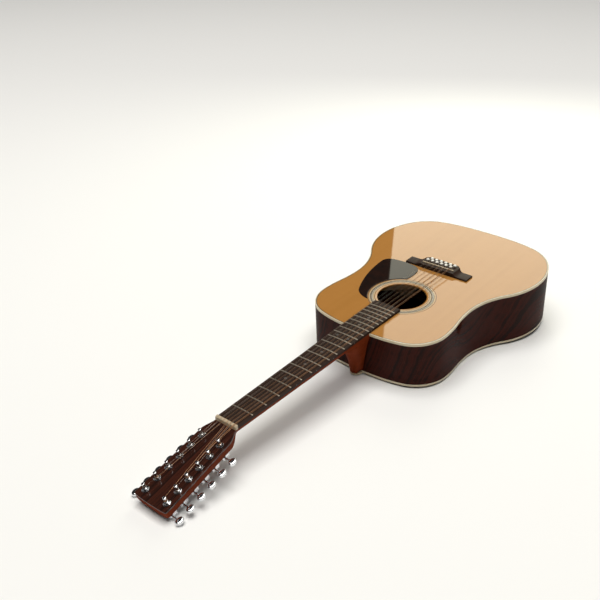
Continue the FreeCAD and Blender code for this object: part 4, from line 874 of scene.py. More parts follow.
def screw_head(radius: float, height: float, slot: float) -> Sketch:
    """A domed screw head standing on z = 0, with its straight slot shown as a bar of painted shade in its crown."""
    sketch = Sketch()
    sketch.lathe([(0.0, 0.0), (radius, 0.0), (radius, 0.45 * height), (0.9 * radius, 0.75 * height),
                  (0.6 * radius, 0.94 * height), (0.0, height)], 24)
    # the slot is not cut: a dark bar is painted shade standing for its hollow
    bar = block((1.7 * radius, slot, 0.3 * height), 0.02, (0.0, 0.0, 0.86 * height), 1)
    sketch.moved(bar, slot=1)
    return sketch


# ---------------------------------------------------------------- the body

@dataclass(frozen=True)
class Body:
    """Soundboard, back, ribs, bindings and inlays, in millimetres."""

    binding: float = 2.0
    binding_height: float = 5.0
    purfling: tuple[float, ...] = (0.4, 0.8, 0.4)
    board: float = 2.9
    back: float = 2.8
    rib: float = 2.0
    hole_radius: float = 50.8
    hole_y: float = 354.0
    channel: float = 1.2
    bands: tuple[Flat, ...] = ((55.6, 56.4), (57.0, 59.7), (59.7, 65.8), (65.8, 68.0), (69.5, 70.5))
    strip_half: float = 3.0
    graft_half: float = 7.0

    def build(self) -> None:
        """Builds every visible piece of the body and dresses the hidden ones."""
        self.soundboard()
        self.rosette()
        self.edges()
        self.ribs()
        self.backs()
        self.graft()
        self.end_pin()
        self.pickguard()
        self.inside()

    def soundboard(self) -> None:
        """The spruce plate, with a rounded soundhole edge and a channel for each rosette ring."""
        rim = BODY.loop(self.binding + sum(self.purfling))
        hole, low = self.hole_radius, -self.channel
        profile = [(hole, -self.board), (hole, -0.7), (hole + 0.2, -0.25), (hole + 0.7, 0.0)]
        for inner, outer in ((55.6, 56.4), (57.0, 68.0), (69.5, 70.5)):
            profile += [(inner, 0.0), (inner, low), (outer, low), (outer, 0.0)]
        rings = []
        for radius, height in profile:
            rings.append([(x * radius / math.hypot(x, y - self.hole_y),
                           self.hole_y + (y - self.hole_y) * radius / math.hypot(x, y - self.hole_y), height)
                          for x, y in rim])
        rings += [[(x, y, 0.0) for x, y in rim], [(x, y, -self.board) for x, y in rim]]
        lofted(rings, around=True).piece("soundboard_skin", [SPRUCE], stands_for=["soundboard"])

    def rosette(self) -> None:
        """Five inlaid rings, a hair below flush."""
        sketch = Sketch()
        for (inner, outer), slot in zip(self.bands, (0, 1, 2, 1, 0)):
            ring = Sketch()
            ring.lathe([(inner, -self.channel), (outer, -self.channel), (outer, -0.04), (outer - 0.06, 0.0),
                        (inner + 0.06, 0.0), (inner, -0.04)], 180, (0.0, self.hole_y, 0.0))
            sketch.moved(ring, slot=slot)
        sketch.piece("rosette_rings", [ROSETTE_DARK, ROSETTE_LIGHT, ROSETTE_BAND], stands_for=["rosette"])

    def edges(self) -> None:
        """Both bindings, rounded on their outer edge, and the three lines beside the top one."""
        wide, tall = self.binding, self.binding_height
        soft = [(0.0, 0.9), (0.12, 0.42), (0.42, 0.12), (0.9, 0.0)]
        profile = [(0.0, -tall)] + [(inset, -drop) for inset, drop in soft] + [(wide, 0.0), (wide, -tall)]
        BODY.hoop(profile).piece("top_binding_skin", [CREAM], stands_for=["top_binding"])
        profile = [(0.0, tall)] + soft + [(wide, 0.0), (wide, tall)]
        BODY.hoop(profile, True).piece("back_binding_skin", [CREAM], stands_for=["back_binding"])
        lines = Sketch()
        inset = wide
        for width, slot in zip(self.purfling, (0, 1, 0)):
            far = inset + width
            line = BODY.hoop([(inset, -self.board), (inset, 0.0), (far, 0.0), (far, -self.board)])
            lines.moved(line, slot=slot)
            inset += width
        lines.piece("top_purfling_skin", [LINE_DARK, LINE_LIGHT], stands_for=["top_purfling"])

    def ribs(self) -> None:
        """The bent sides, from the end graft to the middle of the neck end."""
        outer, inner = BODY.half(0.0), BODY.half(self.rib)
        tall = self.binding_height
        pairs = [pair for pair in zip(outer, inner) if pair[0][0] >= self.graft_half or pair[0][1] > 100.0]
        for name, side in (("treble", 1.0), ("bass", -1.0)):
            rings = [[(side * x, y, -tall), (side * x, y, BODY.dome(x, y) + tall),
                      (side * u, v, BODY.dome(u, v) + tall), (side * u, v, -tall)] for (x, y), (u, v) in pairs]
            lofted(rings).piece("rib_%s_skin" % name, [ROSEWOOD], stands_for=["rib_" + name])

    def slab(self, edges: Sequence[tuple[float, float, float]], columns: int) -> Sketch:
        """A strip of the back between two x positions at every (low x, high x, y) station."""
        rings = []
        for low, high, y in edges:
            row = spread(low, high, columns)
            rings.append([(x, y, BODY.dome(x, y)) for x in row]
                         + [(x, y, BODY.dome(x, y) + self.back) for x in row[::-1]])
        return lofted(rings)

    def backs(self) -> None:
        """The two domed plates, with the inlaid strip between them."""
        half = [(x, y) for x, y in BODY.half(self.binding) if x > self.strip_half + 0.1]
        plates = Sketch()
        for side in (1.0, -1.0):
            plates.moved(self.slab([(side * self.strip_half, side * x, y) for x, y in half], 14))
        plates.piece("back_plates_skin", [ROSEWOOD], stands_for=["back_plates"])
        ends = (self.binding + 0.05, BODY.length - self.binding - 0.05)
        strip = Sketch()
        for low, high, slot in ((-3.0, -2.2, 0), (-2.2, 2.2, 1), (2.2, 3.0, 0)):
            lane = self.slab([(low, high, y) for y in spread(*ends, 60)], 3)
            strip.moved(lane, slot=slot)
        strip.piece("back_strip_skin", [LINE_DARK, LINE_LIGHT], stands_for=["back_strip"])

    def graft(self) -> None:
        """The cream inlay where the two ribs meet at the tail."""
        (_, middle), radius, _, _ = BODY.arcs()[0]
        rings = []
        for x in spread(-self.graft_half, self.graft_half, 9):
            outer = middle - math.sqrt(radius ** 2 - x * x)
            inner = middle - math.sqrt((radius - self.rib) ** 2 - x * x)
            low = BODY.dome(x, outer) + self.binding_height
            rings.append([(x, outer, -self.binding_height), (x, outer, low), (x, inner, low),
                          (x, inner, -self.binding_height)])
        lofted(rings).piece("end_graft_skin", [CREAM], stands_for=["end_graft"])

    def end_pin(self) -> None:
        """The strap button at the tail, turned about its own axis."""
        sketch = Sketch()
        sketch.lathe([(0.0, 26.0), (3.6, 26.0), (4.0, 0.0), (6.3, 0.0), (6.5, -0.4), (6.2, -1.7), (4.5, -2.6),
                      (4.3, -4.8), (4.8, -6.8), (6.6, -8.4), (7.4, -9.2), (7.5, -10.2), (7.0, -11.1), (5.4, -11.8),
                      (2.4, -12.0), (0.0, -12.0)], 40)
        middle = Matrix.Translation(Vector((0.0, 0.0, -BODY.tail_depth / 2)) * MM)
        place = BENCH.matrix() @ middle @ Matrix.Rotation(-math.pi / 2, 4, "X")
        sketch.piece("end_pin_skin", [PIN_WHITE], place, stands_for=["end_pin"])

    def pickguard(self) -> None:
        """The black plate beside the soundhole, with a bevelled edge."""
        ring, y, base = self.bands[-1][1] + 0.5, self.hole_y, Bridge().front + 1.7
        start, mid, end = ((ring * math.cos(math.radians(a)), y + ring * math.sin(math.radians(a)))
                           for a in (-64.0, -10.0, 44.0))
        near, far, heel = (88.0, y + 31.0), (121.5, base + 28.0), (100.0, base + 3.0)
        toe, nose = (45.0, base + 4.0), (30.0, base + 26.0)
        spans = ((start, mid, end), (end, (71.0, y + 44.5), near), (near, (112.0, y - 32.0), far),
                 (far, (116.0, base + 10.0), heel), (heel, (72.0, base), toe), (toe, (34.0, base + 13.0), nose),
                 (nose, (28.5, y - 80.0), start))
        outline = [point for span in spans for point in arc_through(*span)]
        plate(anticlockwise(outline), 0.0, 1.3, 0.7).piece("pickguard_skin", [TORTOISE], stands_for=["pickguard"])

    def inside(self) -> None:
        """Finishes for the hidden pieces, which keep their CAD shape."""
        for node, finish in (("linings", INSIDE), ("top_braces", INSIDE), ("back_braces", INSIDE),
                             ("bridge_plate", PLATEWOOD), ("neck_block", BLOCKWOOD), ("tail_block", BLOCKWOOD),
                             ("truss_rod", ROD_STEEL), ("truss_rod_nut", ROD_STEEL)):
            piece = frame["nodes"][node]
            piece.data.materials.clear()
            piece.data.materials.append(finish.material())


# ---------------------------------------------------------------- the bridge

@dataclass(frozen=True)
class Bridge:
    """The belly bridge, its saddle and its pins, in millimetres."""

    saddle_y: float = 217.648
    slant: float = 1.13
    half: float = 76.0
    height: float = 9.0
    wing: float = 3.8
    ahead: float = 10.5
    wing_behind: float = 15.5
    belly_behind: float = 28.0
    crest: float = 42.0
    foot: float = 55.0
    saddle_half: float = 38.0
    saddle_top: float = 11.2
    pin_rows: Flat = (9.5, 18.0)
    sidestep: Flat = (3.0, -2.6)
    spread: float = 57.2

    @property
    def front(self) -> float:
        """Where the bridge's front edge is."""
        return self.saddle_y + self.ahead

    def top(self, x: float) -> float:
        """Returns the height of the bridge's top."""
        fall = min(max((abs(x) - self.crest) / (self.foot - self.crest), 0.0), 1.0)
        return self.wing + (self.height - self.wing) * (1.0 - fall) ** 1.9

    def rear(self, x: float) -> float:
        """Returns where the bridge's rear edge is."""
        belly = self.saddle_y - self.belly_behind + (x / 33.0) ** 2
        wing = self.saddle_y - self.wing_behind
        return belly + (wing - belly) * ramp(33.0, 51.0, abs(x)) if abs(x) > 33.0 else belly

    def build(self) -> None:
        """Builds the bridge, the saddle and the pins."""
        places = spread(-self.half, -57.0, 7) + spread(-56.0, 56.0, 113) + spread(57.0, self.half, 7)
        rings = []
        for x in [places[0]] + places + [places[-1]]:
            inset = 0.9 if (len(rings) == 0 or len(rings) == len(places) + 1) else 0.0
            rings.append(self.section(x + (0.0 if inset else -math.copysign(0.35, x) * (abs(x) > 75.9)), inset))
        lofted(rings).piece("bridge_skin", [EBONY], stands_for=["bridge"])
        self.saddle()
        self.pins()

    def section(self, x: float, inset: float) -> list[Point]:
        """Returns a section across the bridge, with rounded upper edges."""
        rear, front, top = self.rear(x) + inset, self.front - inset, self.top(x) - inset
        soft = 1.3
        corner = [math.radians(a) for a in (0.0, 22.5, 45.0, 67.5, 90.0)]
        over = [(x, rear + soft * (1 - math.cos(a)), top - soft * (1 - math.sin(a))) for a in corner]
        over += [(x, front - soft * (1 - math.sin(a)), top - soft * (1 - math.cos(a))) for a in corner]
        return [(x, rear, 0.0)] + over + [(x, front, 0.0)]

    def saddle(self) -> None:
        """The bone saddle with a rounded crest and ends."""
        rings = []
        half = self.saddle_half
        for x, shrink in ((-half, 0.7), (-half + 0.3, 0.2), (-half + 0.9, 0.0), (half - 0.9, 0.0), (half - 0.3, 0.2),
                          (half, 0.7)):
            top = self.saddle_top - 0.02 - shrink
            side = [(-1.5 + 0.5 * shrink, 4.0), (-1.5 + 0.5 * shrink, top - 0.9), (-1.0, top - 0.35), (-0.3, top),
                    (0.3, top), (1.1, top - 0.16), (1.5 - 0.5 * shrink, top - 0.45), (1.5 - 0.5 * shrink, 4.0)]
            rings.append([(x, y, z) for y, z in side])
        sketch = Sketch()
        sketch.loft(rings)
        place = BENCH.matrix() @ Matrix.Translation(Vector((0.0, self.saddle_y, 0.0)) * MM)
        place = place @ Matrix.Rotation(math.radians(self.slant), 4, "Z")
        sketch.piece("saddle_skin", [BONE], place, stands_for=["saddle"])

    def pin(self, course: int, slot: int) -> Point:
        """Returns the seat of a string's pin; the first string of a pair uses the rear row."""
        row = 1 - slot
        centre = (course / 5 - 0.5) * self.spread
        return (centre + self.sidestep[row], self.saddle_y - self.pin_rows[row], self.height + 2.2)

    def pins(self) -> None:
        """Twelve turned pins, each on a tapered shank."""
        pins = Sketch()
        for course in range(6):
            for slot in (0, 1):
                pins.lathe([(0.0, -24.0), (2.1, -24.0), (2.2, -23.8), (2.6, 0.0), (2.9, 0.0), (3.55, 0.55),
                            (3.7, 0.95), (3.62, 1.3), (3.2, 2.0), (2.4, 2.62), (1.3, 3.05), (0.0, 3.2)], 28,
                           self.pin(course, slot))
        pins.piece("bridge_pins_skin", [PIN_WHITE], stands_for=["bridge_pins"])


# ---------------------------------------------------------------- the neck

@dataclass(frozen=True)
class Neck:
    """Neck, fretboard, frets, nut and the head's wood, in millimetres."""

    nut_y: float = 865.848
    scale: float = 645.2
    nut_width: float = 47.6
    twelfth_width: float = 57.2
    board: float = 6.4
    crown: float = 400.0
    end_y: float = 404.87
    frets: int = 20
    fret_height: float = 1.1
    fret_width: float = 2.4
    body_depth: float = 18.5
    nut_depth: float = 15.5
    body_end: float = 508.0
    heel_depth: float = 95.5
    cap_half: float = 13.0
    head_length: float = 181.0
    head_depth: float = 15.5
    overlay: float = 2.0
    root_half: float = 23.8
    shoulder: float = 66.0
    tip: float = 76.0

    def build(self) -> None:
        """Builds every piece of the neck."""
        self.wood()
        self.heel_cap()
        self.veneer()
        self.fretboard()
        self.fret_wires()
        self.markers()
        self.nut()

    def fret_y(self, number: float) -> float:
        """Returns where a fret is."""
        return self.nut_y - self.scale * (1.0 - 2.0 ** (-number / 12.0))

    def half_width(self, y: float) -> float:
        """Returns half of the fretboard's width."""
        slope = (self.twelfth_width - self.nut_width) / (self.nut_y - self.fret_y(12))
        return (self.nut_width + slope * (self.nut_y - y)) / 2

    def head_half(self, along: float) -> float:
        """Returns half of the head's width at a distance along it."""
        straight = (self.shoulder + (self.tip - self.shoulder) * along / self.head_length) / 2
        if along < 27.0:
            return self.root_half + (straight - self.root_half) * ramp(-3.0, 27.0, along) ** 0.9
        if along <= 175.0:
            return straight
        corner = ((175.0, 38.0 - 0.17), (177.2, 37.4), (178.6, 36.4), (179.5, 34.6), (179.9, 32.0), (180.4, 24.0),
                  (180.8, 13.0), (181.0, 0.6))
        for (u0, w0), (u1, w1) in zip(corner, corner[1:]):
            if along <= u1:
                return w0 + (w1 - w0) * (along - u0) / (u1 - u0)
        return corner[-1][1]

    def heel_half(self, y: float, depth: float) -> float:
        """Returns half of the heel's width at a distance ahead of the body and a depth."""
        top = self.half_width(self.body_end) - 0.2
        table = ((0.0, 1.0, 84.0), (0.02, 1.0, 80.0), (0.19, 0.83, 52.0), (0.42, 0.56, 32.0), (0.7, 0.26, 21.0),
                 (1.0, 0.0, 17.0))
        share = min(max(depth / self.heel_depth, 0.0), 1.0)
        width, reach = table[-1][1:]
        for (s0, w0, r0), (s1, w1, r1) in zip(table, table[1:]):
            if share <= s1:
                t = (share - s0) / (s1 - s0)
                width, reach = w0 + (w1 - w0) * t, r0 + (r1 - r0) * t
                break
        ahead = max(y - self.body_end, 0.0) / reach
        half = self.cap_half + (top - self.cap_half) * width
        return half * math.sqrt(1.0 - ahead * ahead) if ahead < 1.0 else 0.0

    def heel_reach(self, y: float, angle: float, limit: float) -> float:
        """Returns how far a ray down from the glue face runs inside the heel."""
        low, high = 0.0, limit
        for _ in range(24):
            middle = (low + high) / 2
            inside = abs(middle * math.cos(angle)) <= self.heel_half(y, middle * math.sin(angle))
            low, high = (middle, high) if inside else (low, middle)
        return low

    def shaft_section(self, y: float) -> list[Flat]:
        """Returns the neck's section as (x, depth) points, from the treble edge to the bass edge."""
        share = (y - self.body_end) / (self.nut_y - self.body_end)
        depth = self.body_depth + (self.nut_depth - self.body_depth) * share
        half = self.half_width(y)
        points = []
        for angle in (math.pi * k / 40 for k in range(41)):
            shaft = 1.0 / math.hypot(math.cos(angle) / half, math.sin(angle) / depth)
            limit = self.heel_depth / max(math.sin(angle), 1e-3)
            heel = self.heel_reach(y, angle, min(limit, 130.0)) if y < self.body_end + 84.0 else 0.0
            reach = (shaft ** 9 + heel ** 9) ** (1 / 9)
            edge = half / max(abs(math.cos(angle)), 1e-3)
            reach = min(reach, limit, edge if heel < shaft * 1.02 else max(edge, heel))
            points.append((reach * math.cos(angle), reach * math.sin(angle)))
        return points

    def wood(self) -> None:
        """Shaft, heel and head as one piece of mahogany."""
        stations = [500.0, 504.0, 508.2] + spread(509.5, 528.0, 12) + spread(530.0, 596.0, 34)
        stations += spread(604.0, self.nut_y - 14.0, 16)
        rings: list[list[Point]] = []
        for y in stations:
            rings.append([(x, y, -depth) for x, depth in self.shaft_section(y)])
        for along in spread(-16.0, 30.0, 24) + spread(36.0, 172.0, 12) + [175.0, 177.2, 178.6, 179.5, 180.0, 180.4]:
            rings.append(self.head_section(along))
        lofted(rings).piece("neck_skin", [MAHOGANY], stands_for=["neck"], crease=50.0)

    def head_section(self, along: float) -> list[Point]:
        """Returns a section near or on the head; before the nut it is still square to the neck."""
        tilt = math.radians(BENCH.head_angle)
        turn = ramp(-14.0, 14.0, along)
        square = 2.0 + 12.0 * ramp(-10.0, 26.0, along) ** 2
        half = self.head_half(along) if along > -3.0 else self.half_width(BENCH.head_root + along)
        face = self.overlay * ramp(-1.0, 5.0, along)
        depth = self.nut_depth + (self.head_depth - self.nut_depth) * turn - face
        down = max(along, 0.0)
        top_y = BENCH.head_root + (down * math.cos(tilt) if along > 0.0 else along)
        top_z = -down * math.sin(tilt)
        points = []
        for angle in (math.pi * k / 40 for k in range(41)):
            c, s = math.cos(angle), math.sin(angle)
            x = half * math.copysign(abs(c) ** (2.0 / square), c)
            z = face + depth * abs(s) ** (2.0 / square)
            points.append((x, top_y - z * math.sin(tilt * turn), top_z - z * math.cos(tilt * turn)))
        return points

    def heel_cap(self) -> None:
        """The cream cap under the heel."""
        rim = [(self.cap_half * math.cos(a), self.body_end + 17.0 * math.sin(a))
               for a in (math.pi * k / 32 for k in range(33))]
        rim += [(-self.cap_half, self.body_end - 0.9), (self.cap_half, self.body_end - 0.9)]
        plate(anticlockwise(rim), -self.heel_depth, -self.heel_depth - 2.5, 0.5).piece(
            "heel_cap_skin", [CREAM], stands_for=["heel_cap"])

    def veneer(self) -> None:
        """The dark face of the head."""
        ups = spread(0.5, 27.0, 12) + spread(33.0, 172.0, 8) + [175.0, 177.2, 178.6, 179.5, 179.9, 180.4, 180.8, 181.0]
        rim = [(self.head_half(u), u) for u in ups]
        rim += [(-x, u) for x, u in rim[::-1]]
        plate(anticlockwise(rim), -self.overlay, 0.0, 0.35).piece(
            "head_veneer_skin", [VENEER], BENCH.head(), stands_for=["headstock_overlay"])

    def crown_z(self, x: float) -> float:
        """Returns the height of the playing face."""
        return self.board - self.crown + math.sqrt(self.crown ** 2 - x * x)

    def fretboard(self) -> None:
        """The crowned board with softened edges."""
        rings = []
        for y in [self.end_y, self.end_y + 0.5] + spread(self.end_y + 20.0, self.nut_y - 0.3, 14) + [self.nut_y]:
            half = self.half_width(y)
            drop = 0.5 if y == self.end_y else 0.0
            across = [half - 0.45 * (1.0 - math.cos(math.radians(30.0 * k))) for k in range(4)]
            over = [(x, y, self.crown_z(x) - drop - 0.45 * (1.0 - math.sin(math.radians(30.0 * k))))
                    for k, x in enumerate(across)]
            middle = [(x, y, self.crown_z(x) - drop) for x in spread(half - 2.0, 2.0 - half, 15)]
            rings.append([(half, y, 0.0)] + over + middle + [(-x, *rest) for x, *rest in over[::-1]]
                         + [(-half, y, 0.0)])
        lofted(rings).piece("fretboard_skin", [EBONY], stands_for=["fretboard"])

    def fret_wires(self) -> None:
        """Twenty frets with domed crowns and dressed ends."""
        sketch = Sketch()
        for number in range(1, self.frets + 1):
            y = self.fret_y(number)
            half = self.half_width(y) - 0.32
            rings = []
            for x, rise in [(-half, 0.25), (-half + 0.35, 0.62), (-half + 0.9, 0.93), (-half + 1.6, 1.0)] + [
                    (x, 1.0) for x in spread(-half + 3.0, half - 3.0, 13)] + [
                    (half - 1.6, 1.0), (half - 0.9, 0.93), (half - 0.35, 0.62), (half, 0.25)]:
                z = self.crown_z(x)
                arc = [(x, y + 0.5 * self.fret_width * math.cos(math.pi * k / 8),
                        z + rise * self.fret_height * math.sin(math.pi * k / 8)) for k in range(9)]
                rings.append(arc + [(x, y - 0.3, z - 1.2), (x, y + 0.3, z - 1.2)])
            wire = Sketch()
            wire.loft(rings)
            sketch.moved(wire)
        sketch.piece("fret_wires", [FRET_METAL], stands_for=["frets"])

    def markers(self) -> None:
        """Shell dots on the face, two at the octave, and small side dots."""
        sketch = Sketch()
        for number in (5, 7, 9, 12, 15, 17):
            y = (self.fret_y(number) + self.fret_y(number - 1)) / 2
            for x in ((-0.25 * self.nut_width, 0.25 * self.nut_width) if number == 12 else (0.0,)):
                top = self.crown_z(x)
                sketch.lathe([(0.0, top - 1.5), (3.0, top - 1.5), (3.0, top - 0.01), (2.9, top + 0.02),
                              (0.0, top + 0.04)], 32, (x, y, 0.0))
            dot = Sketch()
            dot.lathe([(0.0, -1.4), (1.1, -1.4), (1.1, 0.0), (1.0, 0.03), (0.0, 0.04)], 20)
            sketch.moved(dot, Matrix.Translation((-self.half_width(y), y, self.board / 2))
                         @ Matrix.Rotation(-math.pi / 2, 4, "Y"))
        sketch.piece("marker_dots", [SHELL], stands_for=["position_markers"])

    def nut(self) -> None:
        """The bone nut, with a rounded slot under every string."""
        half = self.nut_width / 2
        slots = [(string.nut_x, string.radius) for string in STRINGS.table()]
        rings = []
        for x in [-half, -half + 0.12] + spread(-half + 0.4, half - 0.4, 235) + [half - 0.12, half]:
            sink = 0.5 if abs(x) > half - 0.05 else (0.12 if abs(x) > half - 0.2 else 0.0)
            for centre, radius in slots:
                wide = radius + 0.08
                if abs(x - centre) < wide:
                    sink = max(sink, math.sqrt(wide ** 2 - (x - centre) ** 2) - 0.1)
            top, y = 8.18 - sink, self.nut_y
            rings.append([(x, y, 0.0), (x, y, top - 0.15), (x, y + 0.15, top), (x, y + 1.4, top),
                          (x, y + 3.4, top - 0.62), (x, y + 5.0, top - 1.3), (x, y + 5.5, top - 1.8), (x, y + 5.5, 0.0)])
        lofted(rings).piece("nut_skin", [BONE], stands_for=["nut"])


# ---------------------------------------------------------------- tuning machines and strings

class Side(Enum):
    """The two sides of the head, with the sign of x."""

    BASS = -1
    TREBLE = 1


@dataclass(frozen=True)
class Machine:
    """One tuning machine's place.

    Attributes:
        side: the side of the head.
        index: its order from the nut, from 0.
        number: its order among the nodes, from 1.
    """

    side: Side
    index: int
    number: int

    @property
    def half_spread(self) -> float:
        """Distance of the post from the centre line."""
        return 21.3 + (25.2 - 21.3) * self.index / 5

    @property
    def along(self) -> float:
        """Distance of the post from the nut."""
        return 36.7 + 25.6 * self.index

    @property
    def coil_low(self) -> float:
        """Height of the coil's foot over the head's face."""
        return (4.2, 8.4)[self.index % 2]

    def place(self) -> Matrix:
        """Returns the machine's frame, mirrored in its points rather than here."""
        return BENCH.head(self.side.value * self.half_spread, self.along)


@dataclass(frozen=True)
class StringPath:
    """One string: its radius, where it crosses saddle and nut, and its pin and machine."""

    radius: float
    saddle_x: float
    nut_x: float
    pin: Point
    machine: Machine

    def bends(self) -> list[Vector]:
        """Returns the string's corners, from its ball end to its coil."""
        bridge = Bridge()
        flute = self.pin[1] + 2.25
        clear = 2.5 + 3 * self.radius + 0.3
        saddle_y = bridge.saddle_y + self.saddle_x * math.tan(math.radians(bridge.slant))
        coil = BENCH.head_point(self.machine.side.value * (self.machine.half_spread - clear), self.machine.along,
                                self.machine.coil_low + 1.0)
        return [Vector((self.pin[0], flute, -6.95)), Vector((self.pin[0], flute, 9.45)),
                Vector((self.saddle_x, saddle_y, bridge.saddle_top + self.radius + 0.12)),
                Vector((self.nut_x, 867.25, 8.3)), Vector(coil)]

    def path(self) -> list[Vector]:
        """Returns points of the string with rounded corners."""
        corners = self.bends()
        points = [corners[0]]
        for before, corner, after, bend in zip(corners, corners[1:], corners[2:], (1.5, 4.0, 4.0)):
            inward, outward = (corner - before).normalized(), (after - corner).normalized()
            turn = inward.angle(outward)
            reach = bend * math.tan(turn / 2)
            start, end = corner - inward * reach, corner + outward * reach
            count = max(2, round(math.degrees(turn) / 8))
            for k in range(count + 1):
                share = k / count
                points.append(start.lerp(corner, share).lerp(corner.lerp(end, share), share))
        return points + [corners[-1]]


@dataclass(frozen=True)
class StringSet:
    """The twelve strings: diameters by course from bass to treble, the octave or unison string first."""

    diameters: tuple[Flat, ...] = ((0.69, 1.19), (0.46, 0.99), (0.30, 0.76), (0.20, 0.58), (0.36, 0.36), (0.25, 0.25))
    nut_spread: float = 37.0
    nut_gap: float = 2.0
    saddle_gap: float = 2.8
    wound_from: float = 0.5

    def table(self) -> list[StringPath]:
        """Returns every string; the outer courses use the posts by the nut."""
        bridge, made = Bridge(), []
        for course, pair in enumerate(self.diameters):
            share = course / 5 - 0.5
            side = Side.BASS if course < 3 else Side.TREBLE
            order = course if course < 3 else 5 - course
            for slot, diameter in enumerate(pair):
                outer = (slot == 0) == (side is Side.BASS)
                index = 2 * order + (0 if outer else 1)
                number = index + (1 if side is Side.BASS else 7)
                made.append(StringPath(diameter / 2, share * bridge.spread + (slot - 0.5) * self.saddle_gap,
                                       share * self.nut_spread + (slot - 0.5) * self.nut_gap,
                                       bridge.pin(course, slot), Machine(side, index, number)))
        return made

    def finish(self, radius: float) -> Metal:
        """Returns bronze winding for a thick string and steel for a thin one."""
        return BRONZE if 2 * radius > self.wound_from else STEEL

    def build(self) -> None:
        """Builds the stretched strings."""
        for name, finish in (("strings_wound", BRONZE), ("strings_plain", STEEL)):
            sketch = Sketch()
            for string in self.table():
                if self.finish(string.radius) is finish:
                    sketch.tube(string.path(), string.radius, 10)
                    ball = Sketch()
                    ball.lathe([(0.0, -1.2), (1.3, -1.2), (1.5, -1.0), (1.5, 1.0), (1.3, 1.2), (0.0, 1.2)], 20)
                    sketch.moved(ball, Matrix.Translation(string.bends()[0]) @ Matrix.Rotation(math.pi / 2, 4, "Y"))
            sketch.piece(name + "_skin", [finish], stands_for=[name])


STRINGS = StringSet()


